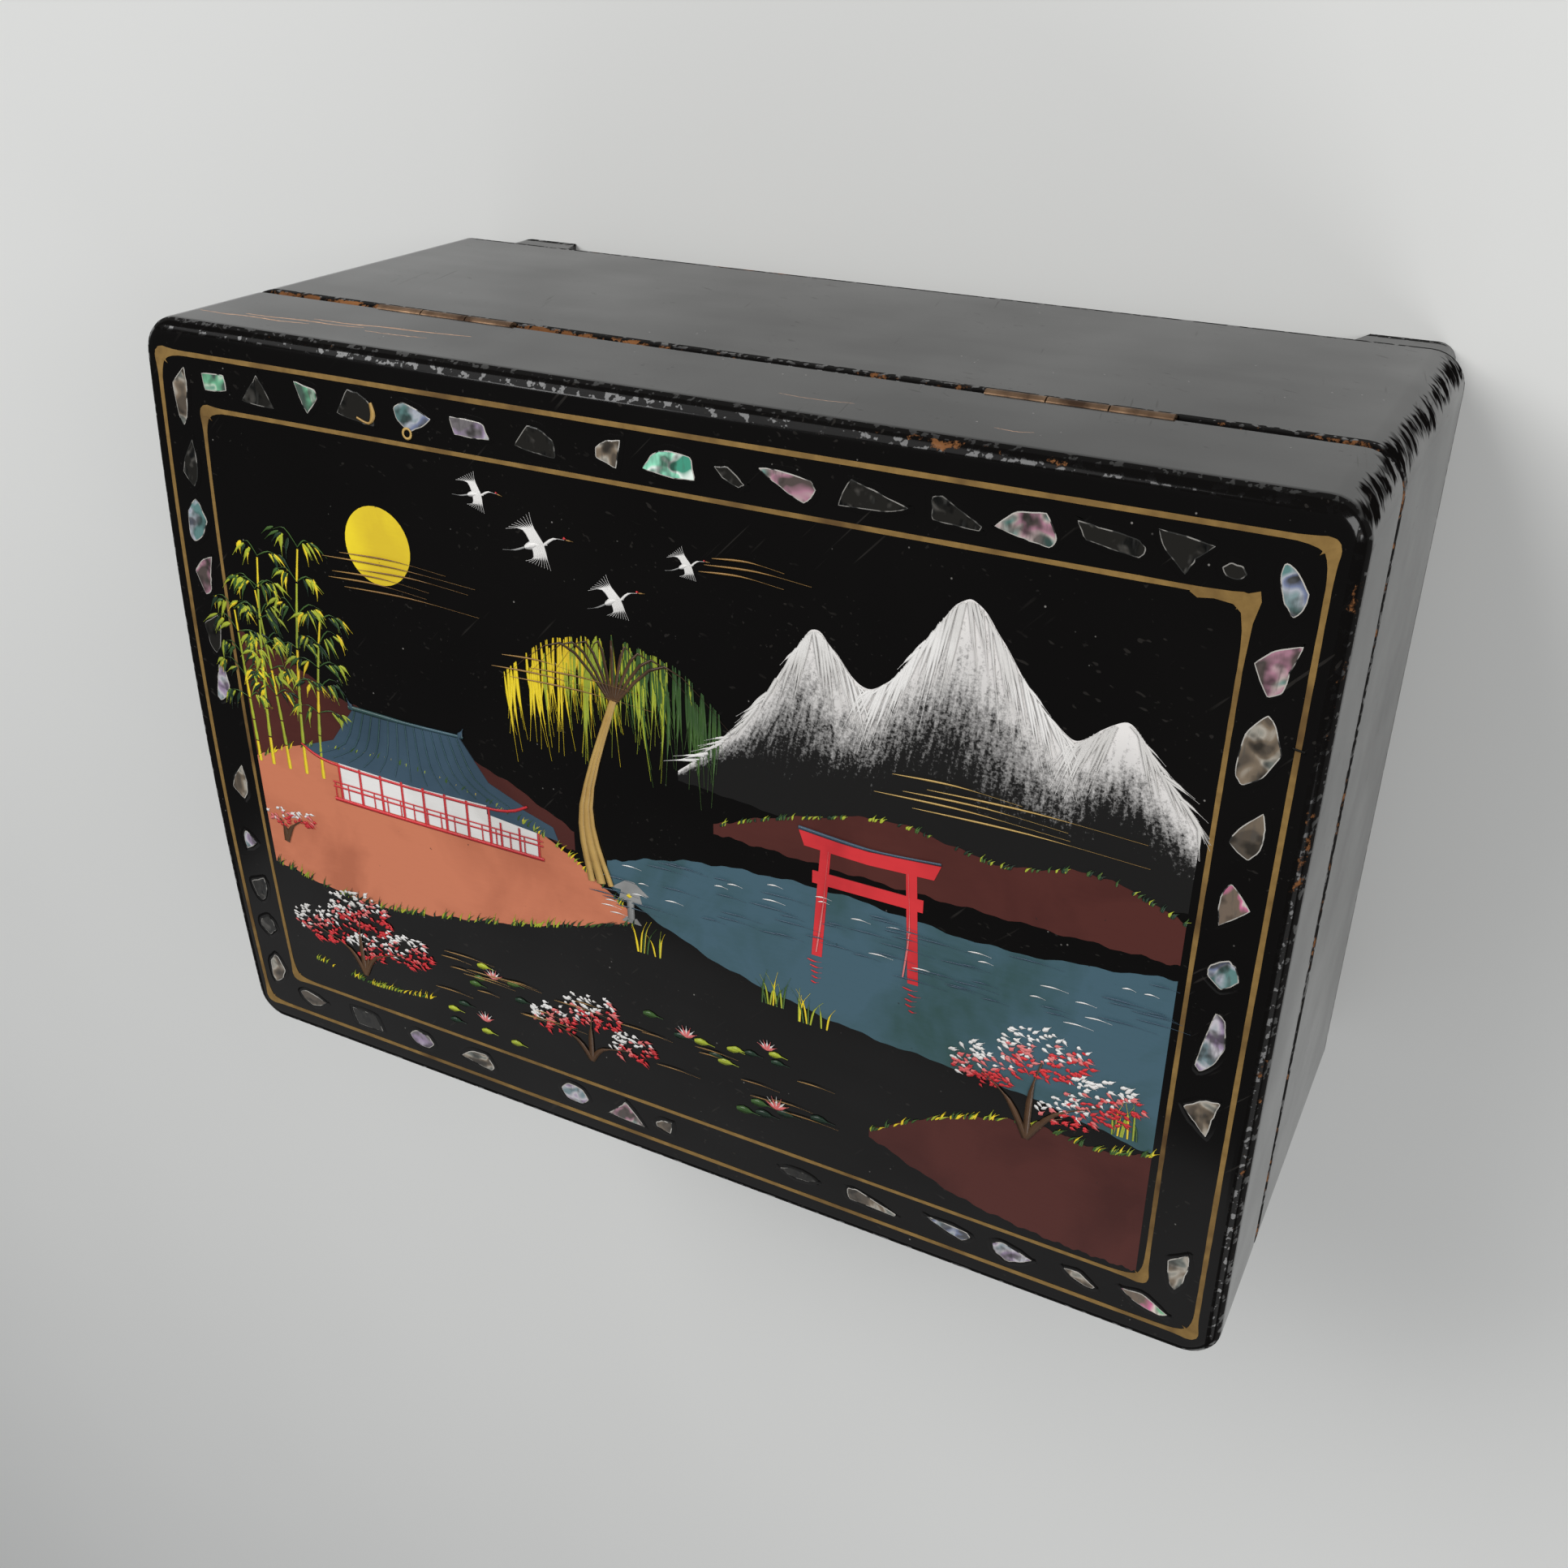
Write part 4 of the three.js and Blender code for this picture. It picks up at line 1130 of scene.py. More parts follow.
def dab(color, x, y, length, angle, width, bend=0.0):
    """A short stroke from a place, at an angle in degrees."""
    turn = math.radians(angle)
    side = turn + math.pi / 2
    middle = (
        x + length * 0.5 * math.cos(turn) + bend * math.cos(side),
        y + length * 0.5 * math.sin(turn) + bend * math.sin(side),
    )
    end = (x + length * math.cos(turn), y + length * math.sin(turn))
    stroke(color, [(x, y), middle, end], width, steps=5)


def level(x, y, length, rise):
    """Points of a level stroke round its middle, which lies a little higher."""
    return [(x - length / 2, y), (x, y + rise), (x + length / 2, y)]


def circle(x, y, radius, angles):
    turns = [math.radians(angle) for angle in angles]
    return [(x + radius * math.cos(turn), y + radius * math.sin(turn)) for turn in turns]


def lay_strokes(color, lift):
    """All strokes of one color as tapered round lines, pressed flat on the lid."""
    lines = []
    for points, width, root, tip, steps in strokes[color]:
        line = []
        for step in range(steps + 1):
            share = step / steps
            px, py = along(points, share)
            start = root + (1 - root) * min(share / STROKE_ROOT, 1.0)
            thin = math.sin(math.pi * min(share * 1.25 + 0.12, 1.0)) if share > STROKE_ROOT else 1.0
            radius = max(width / 2 * start * max(thin, tip), FINEST_STROKE)
            line.append(((px * MM, MID_Y + py * MM, 0.0), radius))
        lines.append(line)
    piece = curve_piece(f"strokes_{color}", lines)
    for vertex in piece.data.vertices:
        bead = vertex.co.z * STROKE_FLATNESS
        vertex.co.z = TOP_Z - crown_drop(vertex.co.y) + lift * MM + bead
    set_material(piece, paints[color])
    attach(piece, "lid")


BOUGHS = 9
STRANDS_ON_BOUGH = 30
CANE_JOINTS = 7
LEAVES_ON_TWIG = 7
SNOW_STREAKS = 260


def willow(x, y, height, reach):
    """A weeping willow: a bent trunk, arching boughs and hanging strands."""
    crown_x = x + height * 0.10
    crown_y = y + height
    for offset, width in ((-0.9, 1.7), (0.2, 2.3), (1.3, 1.4)):
        bend = (x - 2.5 + offset, y + height * 0.35)
        trunk = [(x + offset * 2.2, y), bend, (crown_x + offset * 0.4, crown_y - 8)]
        stroke("tan", trunk, width, root=1.0, tip=0.5, steps=10)
    boughs = []
    for index in range(BOUGHS):
        side = (index - BOUGHS // 2) / (BOUGHS // 2)
        end_y = crown_y - 3 - 5 * abs(side) ** 1.5 + brush.uniform(-1, 1)
        knee = (crown_x + side * reach * 0.45, crown_y + 5 - 3 * abs(side))
        boughs.append([(crown_x, crown_y - 9), knee, (crown_x + side * reach, end_y)])
        stroke("brown", boughs[-1], 0.7, root=1.0, steps=8)
    for bough in boughs:
        for _ in range(STRANDS_ON_BOUGH):
            share = brush.uniform(0.25, 1.0)
            sx, sy = along(bough, share)
            drop = brush.uniform(7, 19) * (0.7 + 0.5 * share)
            drift = brush.uniform(-1.5, 2.5)
            pick = (sx - crown_x) / reach + brush.uniform(-0.45, 0.45)
            color = "yellow" if pick < -0.25 else "lime" if pick < 0.3 else "green"
            strand = [(sx, sy + 1), (sx + drift * 0.3, sy - drop * 0.5), (sx + drift, sy - drop)]
            stroke(color, strand, brush.uniform(0.45, 0.8))


def bamboo(x, y, height, lean):
    """One cane with joints and hanging leaf sprays."""

    def put(joint):
        share = joint / CANE_JOINTS
        return (x + lean * share**1.6, y + height * share)

    for joint in range(CANE_JOINTS):
        first = put(joint)
        second = put(joint + 0.94)
        cane = [first, ((first[0] + second[0]) / 2, (first[1] + second[1]) / 2), second]
        stroke("lime" if joint % 3 else "yellow", cane, 1.1 - 0.08 * joint, root=0.9, tip=0.8)
    for joint in range(3, CANE_JOINTS + 1):
        base_x, base_y = put(joint)
        for side in (-1, 1):
            tip_x = base_x + side * brush.uniform(4, 8)
            tip_y = base_y + brush.uniform(0, 3)
            twig = [(base_x, base_y), ((base_x + tip_x) / 2, tip_y + 0.8), (tip_x, tip_y)]
            stroke("green", twig, 0.35)
            for _ in range(LEAVES_ON_TWIG):
                share = brush.uniform(0.3, 1.0)
                leaf_x = base_x + (tip_x - base_x) * share
                leaf_y = base_y + (tip_y - base_y) * share + 0.6
                angle = -90 + side * brush.uniform(5, 60)
                color = brush.choice(["yellow", "lime", "lime", "green", "deep_green"])
                length = brush.uniform(3.0, 5.6)
                dab(color, leaf_x, leaf_y, length, angle, brush.uniform(0.7, 1.15), side * 0.3)


def blossom(x, y, clusters):
    """A low plum tree: crooked dark boughs and round heaps of white and red dabs."""
    for index, (cx, cy, size) in enumerate(clusters):
        knee = (x + (cx - x) * 0.35 + brush.uniform(-1, 1), y + (cy - y) * 0.55)
        bough = [(x, y), knee, (cx, cy - size * 0.2)]
        stroke("brown", bough, 1.5 - 0.1 * index, root=1.0, tip=0.25, steps=8)
    for cx, cy, size in clusters:
        for _ in range(int(size * size * 1.5)):
            angle = brush.uniform(0, 2 * math.pi)
            away = size * math.sqrt(brush.random())
            px = cx + away * math.cos(angle)
            py = cy + away * math.sin(angle) * 0.62
            lit = (math.sin(angle) - 0.6 * math.cos(angle)) * away / size
            lit += brush.uniform(-0.5, 0.5)
            color = "white" if lit > 0.15 else "rose" if lit > -0.25 else "red"
            length = brush.uniform(1.0, 2.2)
            dab(color, px, py, length, brush.uniform(-50, 50), brush.uniform(0.7, 1.15))


def crane(x, y, size, turn):
    """A flying crane with spread wings."""
    cosine = math.cos(math.radians(turn))
    sine = math.sin(math.radians(turn))

    def mark(color, places, width, root=0.35):
        points = [
            (x + size * (u * cosine - v * sine), y + size * (u * sine + v * cosine))
            for u, v in places
        ]
        stroke(color, points, size * width, root=root)

    mark("white", ((-0.3, 0), (0, 0.05), (0.35, 0.02)), 0.20, 0.4)
    mark("white", ((0.25, 0.03), (0.55, 0.16), (0.85, 0.12)), 0.07, 1.0)
    mark("red", ((0.82, 0.15), (0.87, 0.16), (0.92, 0.13)), 0.07)
    mark("gold", ((0.90, 0.12), (1.0, 0.10), (1.1, 0.07)), 0.04)
    mark("grey", ((-0.3, 0), (-0.6, -0.05), (-0.95, -0.03)), 0.05, 1.0)
    for feather in range(9):
        share = feather / 8
        root = (0.22 - 0.3 * share, 0.06)
        up = ((0.05 - 0.30 * share, 0.42), (0.02 - 0.75 * share, 0.80 - 0.34 * share))
        down = ((0.25 - 0.34 * share, -0.25), (0.30 - 0.66 * share, -0.58 + 0.26 * share))
        mark("white", (root, *up), 0.075, 0.8)
        mark("white", (root, *down), 0.065, 0.8)


def cloud(x, y, length, lines, color="gold"):
    """A bank of cloud drawn as long thin lines."""
    for index in range(lines):
        px = x + brush.uniform(-0.2, 0.2) * length
        reach = length * brush.uniform(0.5, 1.0)
        py = y + index * 1.5 - lines * 0.75
        points = [(px - reach / 2, py), (px, py + 0.6), (px + reach / 2, py - 0.2)]
        stroke(color, points, 0.4, root=0.2, tip=0.1, steps=12)


def gate(x, y, height):
    """A red water gate of two leaning posts and two beams, with its reflection."""
    half = height * 0.42
    post = height * 0.045
    beam = height * 0.055
    top = y + height
    low_beam = y + height * 0.74

    def shape(*places):
        return [(x + half * u, v) for u, v in places]

    posts = []
    for side in (-1, 1):
        foot_x = x + side * half
        head_x = x + side * half * 0.86
        foot = [(foot_x - post, y), (foot_x + post, y)]
        posts.append([*foot, (head_x + post, top), (head_x - post, top)])
    patches_of_paint("gate_posts", posts, "red", lift=0.13)
    low, high, horn = low_beam - beam, low_beam + beam, top + beam * 2.4
    beams = [
        shape((-1.12, low), (1.12, low), (1.12, high), (-1.12, high)),
        shape(
            (-1.42, horn), (-1.30, top), (0, top - beam * 0.4), (1.30, top), (1.42, horn),
            (0, top + beam * 1.7),
        ),
    ]
    patches_of_paint("gate_beams", beams, "red", lift=0.15)
    for side in (-1, 1):
        lit = shape((side * 0.9, y + 1), (side * 0.88, y + height * 0.5), (side * 0.8, top))
        lit[0] = (lit[0][0] - post, lit[0][1])
        stroke("rose", lit, 0.4, root=0.8)
        for ring in range(5):
            px = x + side * half + brush.uniform(-0.6, 0.6)
            stroke("red", level(px, y - 1.2 - ring * 1.3, 3.2 - ring * 0.35, -0.3), 0.5)
    cap = shape((-1.42, top + beam * 2.8), (0, top + beam * 2.1), (1.42, top + beam * 2.8))
    stroke("slate", cap, 0.9, root=1.0, tip=0.6, steps=12)


def tea_house(x, y, width):
    """A low house with a slate-blue hipped roof, white paper walls and a red veranda."""
    half = width / 2
    wall = width * 0.17
    eave = y + wall
    brow = eave + width * 0.09
    ridge = eave + width * 0.25

    def shape(*places):
        return [(x + half * u, v) for u, v in places]

    def upright_bar(px, low, middle, high, width, steps):
        bar = [(px, low), (px, middle), (px, high)]
        stroke("red", bar, width, root=1.0, tip=0.9, steps=steps)

    walls = shape((-0.72, y), (0.72, y), (0.72, eave + 1), (-0.72, eave + 1))
    patches_of_paint("house_walls", [walls], "white", lift=0.12)
    roof = shape(
        (-1.06, eave + 1.6), (-0.86, eave - 0.4), (0, eave - 1.2), (0.86, eave - 0.4),
        (1.06, eave + 1.6), (0.74, brow), (0.50, ridge), (-0.50, ridge), (-0.74, brow),
    )
    patches_of_paint("house_roof", [roof], "slate", lift=0.17)
    side_roof = shape(
        (0.70, y + wall * 0.72), (1.34, y + wall * 0.55), (1.30, y + wall * 0.86),
        (0.86, y + wall * 1.25), (0.70, y + wall * 1.30),
    )
    patches_of_paint("house_side_roof", [side_roof], "slate", lift=0.14)
    side_wall = shape((0.72, y), (1.16, y), (1.16, y + wall * 0.62), (0.72, y + wall * 0.74))
    patches_of_paint("house_side_wall", [side_wall], "white", lift=0.10)
    for index in range(13):
        share = index / 12 * 2 - 1
        low_end = (share * 0.92, eave + 0.6 * abs(share))
        tiles = shape((share * 0.48, ridge - 0.4), (share * 0.62, brow), low_end)
        stroke("teal", tiles, 0.4, root=0.8, tip=0.5)
    ridge_line = shape((-0.54, ridge + 0.3), (0, ridge), (0.54, ridge + 0.3))
    stroke("teal", ridge_line, 1.2, root=1.0, tip=0.7)
    for side in (-1, 1):
        dab("slate", x + side * half * 0.50, ridge - 0.2, 3.0, 90 - side * 28, 1.5)
    for side in (-1, 1):
        eaves = shape((side * 1.08, eave + 2.0), (side * 0.80, eave - 1.0), (0, eave - 1.7))
        stroke("red", eaves, 0.75, root=0.7, tip=0.9, steps=10)
    for index in range(8):
        px = x - half * 0.72 + half * 1.44 * index / 7
        upright_bar(px, y - 0.5, y + wall / 2, eave - 0.8, 0.7, 4)
    for index in range(3):
        px = x + half * (0.82 + 0.17 * index)
        upright_bar(px, y, y + wall * 0.3, y + wall * 0.6, 0.55, 4)
    for rail_y, weight in ((y - 0.4, 1.0), (y + wall * 0.30, 0.5), (y + wall * 0.42, 0.4)):
        rail = shape((-0.80, rail_y), (0, rail_y - 0.2), (1.20, rail_y))
        stroke("red", rail, weight, root=1.0, tip=0.9, steps=12)
    for index in range(16):
        px = x - half * 0.78 + half * 1.94 * index / 15
        upright_bar(px, y - 0.2, y + wall * 0.2, y + wall * 0.42, 0.35, 3)


def lantern(x, y, size):
    """A stone garden lantern of three blocks, each with its low and high half widths."""
    blocks = ((0.22, 0, 0.12, 0.12), (0.26, 0.50, 0.2, 0.74), (0.42, 0.72, 0.10, 0.96))
    outlines = [
        [(x + size * u, y + size * v) for u, v in ((-a, low), (a, low), (b, high), (-b, high))]
        for a, low, b, high in blocks
    ]
    patches_of_paint("lantern_stone", outlines, "grey", lift=0.16)
    stem = [(x, y + size * v) for v in (0.1, 0.3, 0.52)]
    stroke("grey", stem, size * 0.16, root=1.0, tip=1.0)
    dab("yellow", x - size * 0.08, y + size * 0.62, size * 0.16, 0, size * 0.14)


def lotus(x, y, size):
    """A few floating pads and one flower."""
    for _ in range(5):
        px = x + brush.uniform(-1.4, 1.4) * size
        py = y + brush.uniform(-0.5, 0.5) * size
        color = brush.choice(["green", "deep_green", "lime"])
        stroke(color, level(px, py, size * 0.68, 0.3), size * 0.26, root=0.5)
    for index in range(7):
        color = "white" if index % 2 else "rose"
        dab(color, x, y + size * 0.08, size * 0.42, 30 + 20 * index, size * 0.13)


def reeds(x, y, count, height):
    for _ in range(count):
        px = x + brush.uniform(-3.5, 3.5)
        lean = brush.uniform(-3.0, 3.0)
        tall = height * brush.uniform(0.6, 1.0)
        color = brush.choice(["lime", "green", "yellow"])
        reed = [(px, y), (px + lean * 0.3, y + tall * 0.6), (px + lean, y + tall)]
        stroke(color, reed, 0.45, root=0.8)


def grass(points, count, height, colors):
    """Short tufts along a soft line."""
    for _ in range(count):
        px, py = along(points, brush.random())
        angle = brush.uniform(35, 80)
        color = brush.choice(colors)
        dab(color, px, py - 0.6, height * brush.uniform(0.6, 1.1), angle, 0.5, 0.2)


def snow_streaks(ridge, foot):
    """Bright strokes that run down the slopes from the ridge line."""
    for _ in range(SNOW_STREAKS):
        share = brush.random()
        px, py = along(ridge, share)
        slope_x, slope_y = along(ridge, min(share + 0.02, 1.0))
        lean = (slope_x - px) * (1.2 if slope_y < py else -1.2)
        fall = (py - along(foot, share)[1]) * brush.uniform(0.10, 0.42)
        if fall < 2:
            continue
        points = [(px, py - 0.3), (px + lean * 0.8, py - fall * 0.5), (px + lean * 1.6, py - fall)]
        stroke("white", points, brush.uniform(0.3, 0.8), root=0.9)


def water_lines(points, count, color, length):
    for _ in range(count):
        px, py = along(points, brush.random())
        py -= brush.uniform(1, 14)
        reach = length * brush.uniform(0.4, 1.0)
        stroke(color, level(px, py, reach, 0.25), 0.35, root=0.2, steps=8)


RIDGE = [
    (6, 17), (16, 26), (24, 36), (31, 48), (35, 53), (39, 50), (45, 44), (51, 47), (57, 56),
    (62, 63), (66, 64), (71, 58), (78, 49), (85, 43), (90, 46), (95, 48), (101, 41), (109, 32),
]
RIDGE_FOOT = [(6, 15), (28, 13), (52, 10), (80, 12), (109, 15)]
FAR_SHORE = [(14, 7), (30, 13), (52, 18), (74, 15), (92, 18), (109, 13)]
FAR_SHORE_FOOT = [(14, 5), (60, 4), (109, 4)]
LAKE_EDGE = [(-12, -9), (10, -3), (40, -1), (75, -3), (109, 1)]
LAKE_FRONT = [(-12, -15), (16, -27), (48, -33), (80, -35), (109, -40)]
POND = [(-60, -46), (-20, -48), (40, -50)]
BANK_TOP = [(-109, -8), (-92, -1), (-68, 1), (-44, -2), (-24, -9), (-6, -21)]
BANK_FRONT = [(-109, -37), (-82, -41), (-55, -37), (-30, -31), (-6, -23)]
KNOLL_TOP = [(50, -58), (66, -48), (84, -42), (98, -43), (109, -40)]
KNOLL_FRONT = [(50, -60), (70, -68), (88, -71), (100, -71.5), (109, -71.5)]
HILL_TOP = [(-109, 24), (-98, 21), (-80, 13), (-60, 9), (-40, 5), (-20, -4)]
HILL_FOOT = [(-109, -9), (-85, -4), (-60, -3), (-40, -5), (-20, -9)]
FRONT_EDGE = [(-102, -64), (-84, -66), (-66, -64)]

LIGHT_GREENS = ["lime", "green", "yellow"]
DARK_GREENS = ["green", "deep_green", "lime"]


def paint_grounds():
    fine = {"columns": 220, "rows": 40, "waver": 0.12}
    ground("snowy_ridge", RIDGE, RIDGE_FOOT, snow_paint, lift=0.03, **fine)
    ground("far_shore", FAR_SHORE, FAR_SHORE_FOOT, paints["maroon"], lift=0.06)
    ground("left_hill", HILL_TOP, HILL_FOOT, paints["maroon"], lift=0.04)
    ground("lake", LAKE_EDGE, LAKE_FRONT, paints["teal"], lift=0.05)
    ground("garden_bank", BANK_TOP, BANK_FRONT, paints["salmon"], lift=0.08)
    ground("plum_knoll", KNOLL_TOP, KNOLL_FRONT, paints["maroon"], lift=0.07)
    patches_of_paint("moon", [circle(-66, 51, 8.5, range(0, 360, 10))], "yellow", lift=0.05)


def paint_plants():
    blossom(84, -46, [(74, -31, 8), (86, -24, 9.5), (98, -31, 8.5), (91, -37, 6)])
    blossom(-86, -64, [(-98, -52, 8.5), (-85, -45, 10.0), (-72, -52, 8.0), (-84, -55, 6.5)])
    blossom(-20, -66, [(-30, -57, 7.0), (-19, -51, 8.0), (-9, -58, 6.5)])
    blossom(-104, -30, [(-105, -23, 4.5), (-98, -22, 4.0)])
    grass(BANK_TOP, 90, 2.6, LIGHT_GREENS)
    grass(BANK_FRONT, 120, 3.4, DARK_GREENS)
    grass(KNOLL_TOP, 90, 2.8, LIGHT_GREENS)
    grass(FAR_SHORE, 110, 1.8, DARK_GREENS)
    grass(FRONT_EDGE, 60, 2.6, ["green", "lime", "yellow"])
    for x, y, size in ((-46, -52, 7), (6, -50, 7.5), (26, -46, 6.5), (28, -62, 8.5), (-50, -66, 7)):
        lotus(x, y, size)
    for x, y in ((28, -33), (37, -35), (104, -38), (-2, -30)):
        reeds(x, y, 9, 9)


def border_marks():
    """A tiny ring and a spill of gold among the chips, and a nick in the outer line."""
    stroke("tan", circle(-56, 75.9, 1, range(0, 390, 30)), 0.55, root=1.0, tip=1.0, steps=24)
    spill = [(-64.9, 80.8), (-64.4, 78.4), (-65.6, 76.6), (-68.6, 77.4)]
    stroke("tan", spill, 1.3, root=0.6, tip=0.4, steps=12)
    stroke("ink", [(121.2, 50.2), (123.2, 49.9)], 0.4, root=1.0, tip=1.0)


def paint_picture():
    paint_grounds()
    snow_streaks(RIDGE, RIDGE_FOOT)
    for x, y, length, lines, color in (
        (-62, 45, 44, 6, "gold"), (-22, 32, 36, 4, "gold"), (70, 26, 50, 5, "tan"),
        (20, 62, 26, 3, "gold"),
    ):
        cloud(x, y, length, lines, color)
    for x, y, size, turn in ((-26, 58, 8.5, 12), (-8, 50, 7, 20), (-40, 66, 6, 4), (8, 60, 5, 16)):
        crane(x, y, size, turn)
    tea_house(-63, -13, 58)
    canes = ((-104, 52, 4), (-99, 44, -3), (-94, 56, 6), (-108, 38, -1), (-89, 40, 5))
    for x, height, lean in canes:
        bamboo(x, -9, height, lean)
    willow(-14, -15, 52, 27)
    gate(48, -17, 25)
    lantern(-6.5, -23, 11)
    paint_plants()
    water_lines(LAKE_EDGE, 60, "slate", 12)
    water_lines(LAKE_EDGE, 26, "white", 6)
    water_lines(POND, 26, "gold", 16)
    border_marks()
    for index, color in enumerate(strokes):
        if strokes[color]:
            lay_strokes(color, STROKE_LIFT + STROKE_LIFT_STEP * index)


paint_picture()


# Soft pieces inside the box


def cushion(name, low, high, rows, crown_share, edge):
    """A crowned pad on a flat base: a subdivided block whose top falls away to its edges."""
    piece = cube_piece(name, low, high)
    edit(piece)
    bpy.ops.mesh.subdivide(number_cuts=rows)
    leave_edit()
    middle = (low + high) / 2
    half = (high - low) / 2
    tall = high.z - low.z
    for vertex in piece.data.vertices:
        spot = vertex.co
        up = (spot.z - low.z) / tall
        gap_x = half.x - abs(spot.x - middle.x)
        gap_y = half.y - abs(spot.y - middle.y)
        inward = min(min(gap_x, gap_y) / edge, 1.0)
        full = min(1.0, math.sqrt(max(0.0, 1 - (1 - inward) ** 2)))
        soft = 0.015 * abs(math.sin(spot.x * 61 + 1) * math.sin(spot.y * 73))
        spot.z = low.z + up * tall * (1 - crown_share + crown_share * (full - soft))
        bulge = math.sin(math.pi * up) * 0.35 * MM
        if gap_x < SAME_PLACE:
            spot.x -= math.copysign(bulge * up, spot.x - middle.x)
        if gap_y < SAME_PLACE:
            spot.y -= math.copysign(bulge * up, spot.y - middle.y)
    smooth(piece, SOFT_ANGLE)
    return piece


def build_floor_pad():
    low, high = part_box("floor_pad")
    pad = cushion("velvet_floor_pad", low, high, rows=40, crown_share=0.55, edge=9 * MM)
    set_material(pad, red_velvet)
    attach(pad, "case")
    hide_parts("floor_pad")


# A ring roll before it is scaled, with a radius and a half length of 1
ROLL_SEED = 40
ROLL_STEP = 0.025
ROLL_FOOT = 0.86  # how far below its middle it is flat
ROLL_END = 0.09  # how much of its half length is drawn in at each end
CAP_RINGS = 5
CAP_RING = 0.16


def build_ring_roll(index):
    """One roll: flat below, gathered at both ends, with soft dents along its back."""
    low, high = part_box(f"ring_roll_{index}")
    middle = (low + high) / 2
    half = (high - low) / 2
    name = f"velvet_ring_roll_{index}"
    roll = cylinder_piece(name, ROLL_SIDES, 1.0, 2.0, (0, 0, 0), (90, 0, 0))
    cut_rows(roll, -1.0, 1.0, ROLL_STEP)
    edit(roll, "FACE", "DESELECT")
    mesh = bmesh.from_edit_mesh(roll.data)
    for face in mesh.faces:
        face.select_set(len(face.verts) > 4)
    bmesh.update_edit_mesh(roll.data)
    for _ in range(CAP_RINGS):
        bpy.ops.mesh.inset(thickness=CAP_RING, use_individual=True)
    leave_edit()
    phase = random.Random(ROLL_SEED + index).uniform(0, 6)
    for vertex in roll.data.vertices:
        spot = vertex.co
        y = spot.y
        angle = math.atan2(spot.z, spot.x)
        end = min((1 - abs(y)) / ROLL_END, 1.0)
        full = 0.84 + 0.16 * math.sqrt(max(0.0, 1 - (1 - end) ** 2))
        dents = 0.022 * math.sin(y * 21 + phase) + 0.012 * math.sin(y * 47 + 2 * phase)
        gathers = 0.035 * math.sin(angle * 11 + phase) * (1 - end)
        size = full * (0.965 + dents * 0.6 + gathers)
        z = max(spot.z * size, -ROLL_FOOT)
        if abs(y) > 0.999:
            y -= math.copysign(0.035 * math.hypot(spot.x, spot.z) ** 2, y)
        vertex.co = (
            middle.x + spot.x * size * half.x,
            middle.y + y * half.y * 0.997,
            low.z + (z + ROLL_FOOT) / (1 + ROLL_FOOT) * 2 * half.z,
        )
    smooth(roll, SOFT_ANGLE)
    set_material(roll, red_velvet)
    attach(roll, "tray")
    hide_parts(f"ring_roll_{index}")


RIBBON_THICKNESS = 0.34 * MM


def build_ribbon(side):
    """A pull tab of folded ribbon: pinned inside the tray wall and folded down over its top."""
    low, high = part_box(f"tray_ribbon_{side}")
    inward = -1 if side == "right" else 1
    wall_x = high.x if side == "right" else low.x
    # How far the ribbon lies from the wall, and its height
    profile = [
        (0.05 * MM, low.z),
        (0.05 * MM, (low.z + high.z) / 2),
        (0.06 * MM, high.z - 0.9 * MM),
        (0.20 * MM, high.z - 0.42 * MM),
        (0.48 * MM, high.z - 0.30 * MM),
        (0.62 * MM, high.z - 0.9 * MM),
        (0.58 * MM, high.z - 4.0 * MM),
        (0.60 * MM, low.z + 1.2 * MM),
    ]

    def place(u, v):
        out, height = along(profile, u)
        wave = 0.05 * MM * math.sin(v * 9 + u * 5)
        return (wall_x + inward * (out + abs(wave)), low.y + (high.y - low.y) * v, height)

    ribbon = grid_piece(f"velvet_ribbon_{side}", 48, 14, place)
    apply_modifier(ribbon, "SOLIDIFY", thickness=RIBBON_THICKNESS, offset=float(inward))
    edit(ribbon)
    bpy.ops.mesh.normals_make_consistent(inside=False)
    leave_edit()
    smooth(ribbon, 50)
    set_material(ribbon, ribbon_satin)
    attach(ribbon, "tray")
    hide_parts(f"tray_ribbon_{side}")
    reach = sum((Vector(b) - Vector(a)).length for a, b in zip(profile, profile[1:]))


build_floor_pad()
for roll_number in (1, 2, 3):
    build_ring_roll(roll_number)
for ribbon_side in ("left", "right"):
    build_ribbon(ribbon_side)


# Stage: floor, lights and camera

FLOOR_SIZE = 6.0
LAMP_TARGET = Vector((0, 0, 0.06))
SKY_COLOR = (0.92, 0.95, 1.0)
SKY_STRENGTH = 0.28
SKY_STRENGTH_IN_MIRRORS = 0.03

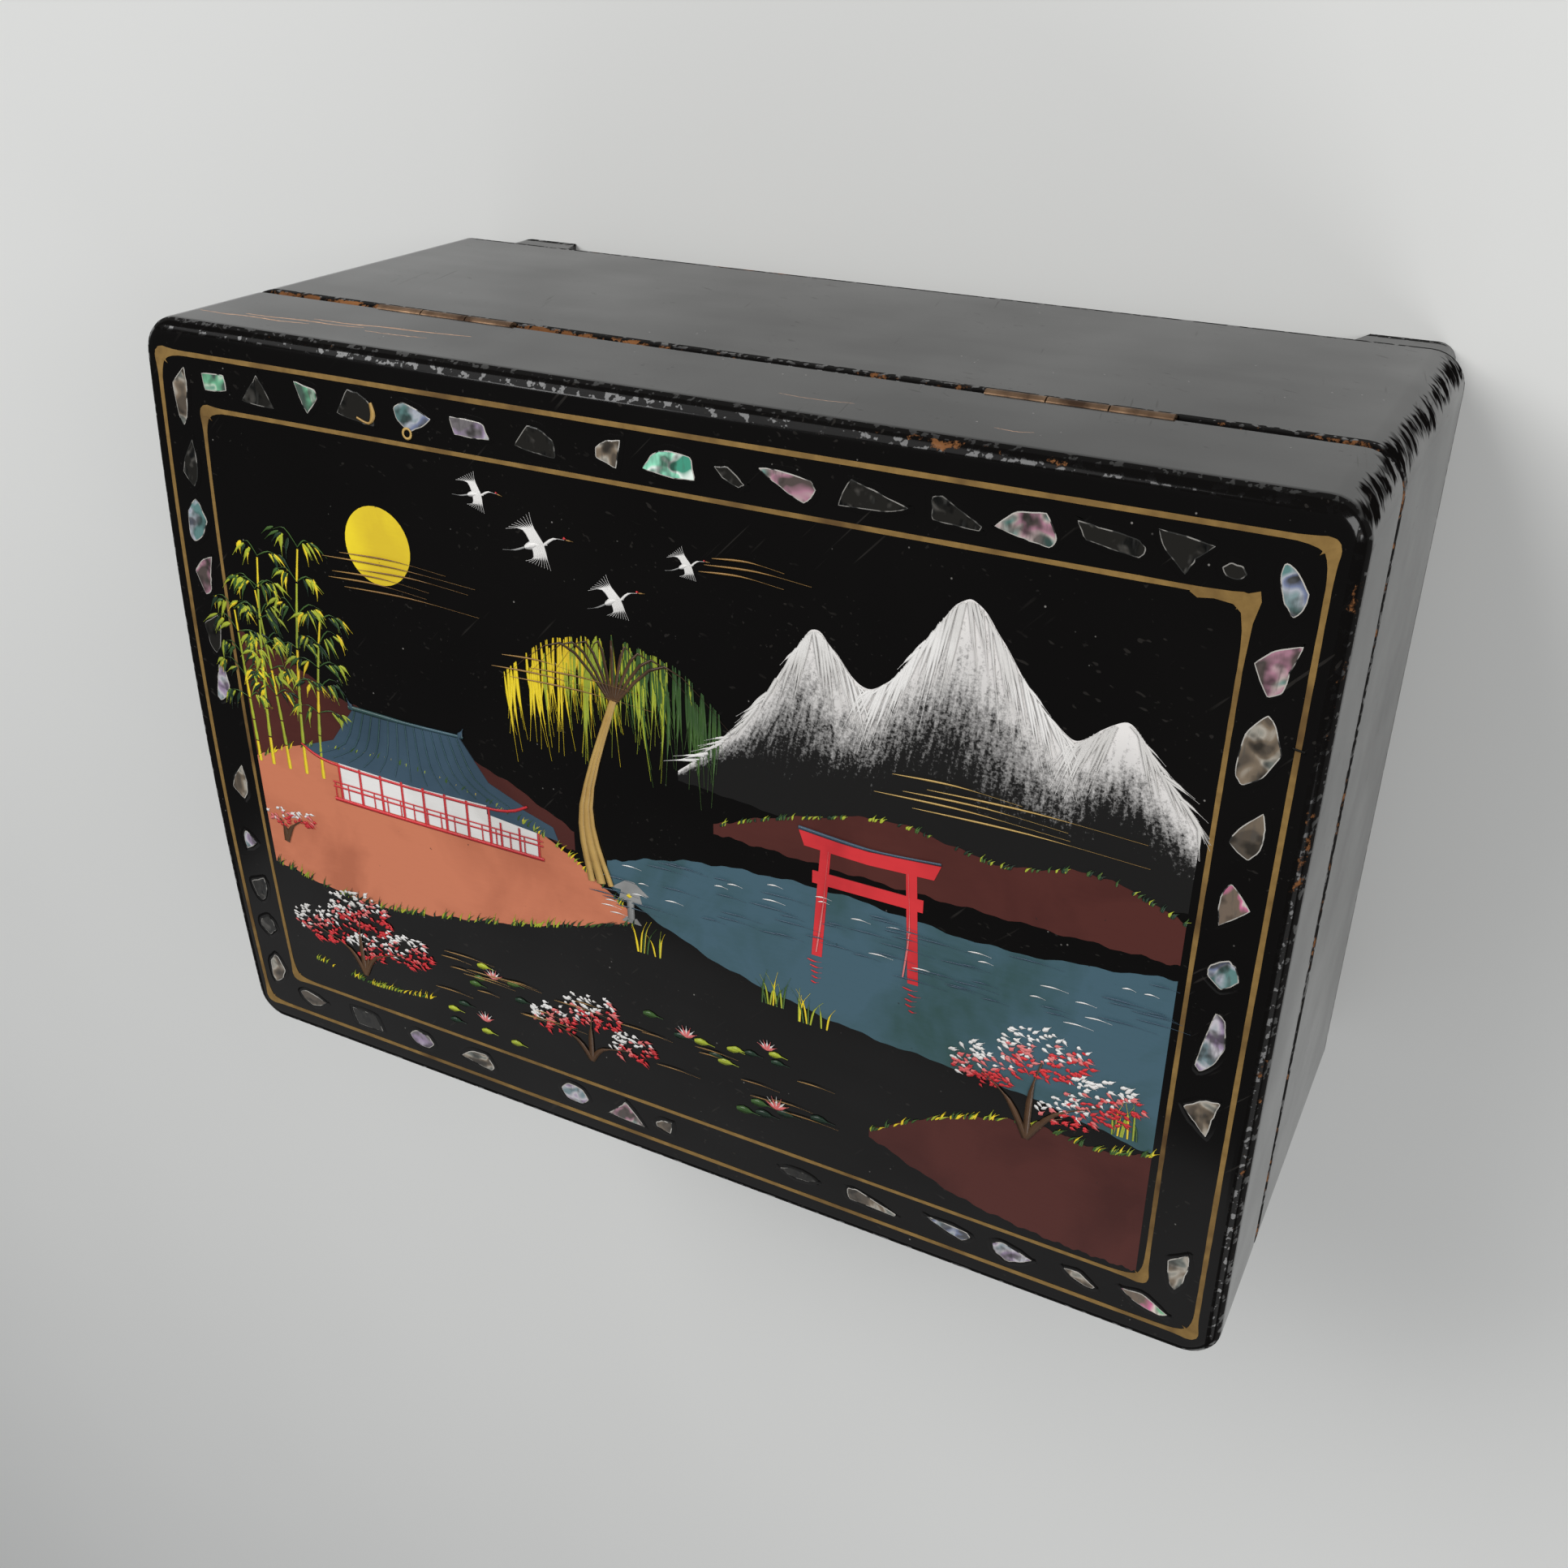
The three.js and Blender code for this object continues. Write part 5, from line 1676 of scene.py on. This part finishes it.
# Each lamp: name, place, width and height, power
LAMPS = (
    ("key", (-0.7, 0.9, 1.0), (0.9, 0.9), 16.0),
    ("fill", (1.0, 0.6, 0.8), (0.8, 0.8), 8.0),
    ("side", (1.1, -0.9, 0.6), (0.8, 0.6), 6.0),
    ("front_strip", (-0.3, -1.5, 1.05), (2.4, 0.9), 1.6),
)


def build_floor():
    deselect()
    bpy.ops.mesh.primitive_plane_add(size=FLOOR_SIZE, location=(0, 0, 0))
    floor = take_new("floor")
    material, shader = new_material("pale_floor", Roughness=0.85)
    clouds = noise(object_coordinates(shader), 3.0, detail=3.0)
    feed(shader, Base_Color=mix(clouds, (0.66, 0.66, 0.64), (0.72, 0.72, 0.70)))
    set_material(floor, material)


def build_lights():
    for name, place, size, power in LAMPS:
        lamp = bpy.data.lights.new(name, "AREA")
        lamp.shape = "RECTANGLE"
        lamp.size, lamp.size_y = size
        lamp.energy = power
        holder = link_piece(name, lamp)
        holder.location = place
        aim = LAMP_TARGET - Vector(place)
        holder.rotation_euler = aim.to_track_quat("-Z", "Y").to_euler()
    world = bpy.data.worlds.new("studio")
    bpy.context.scene.world = world
    world.use_nodes = True
    sky = world.node_tree.nodes["Background"]
    mirrored = new_node(sky, "ShaderNodeLightPath").outputs["Is Glossy Ray"]
    strength = remap(mirrored, 0.0, 1.0, SKY_STRENGTH, SKY_STRENGTH_IN_MIRRORS)
    feed(sky, Color=SKY_COLOR, Strength=strength)


def build_camera():
    camera = bpy.data.cameras.new("camera")
    camera.sensor_width = SENSOR_WIDTH
    camera.lens = FOCAL_PIXELS / PHOTO_SIZE * SENSOR_WIDTH
    camera.clip_start = 0.01
    holder = link_piece("camera", camera)
    right = CAMERA_RIGHT.normalized()
    up = (CAMERA_UP - right * CAMERA_UP.dot(right)).normalized()
    turn = Matrix((right, up, right.cross(up))).transposed()
    holder.matrix_world = Matrix.Translation(CAMERA_PLACE) @ turn.to_4x4()
    bpy.context.scene.camera = holder


build_floor()
build_lights()
build_camera()
bpy.context.scene.view_settings.view_transform = "Standard"

deselect()
bpy.context.view_layer.update()
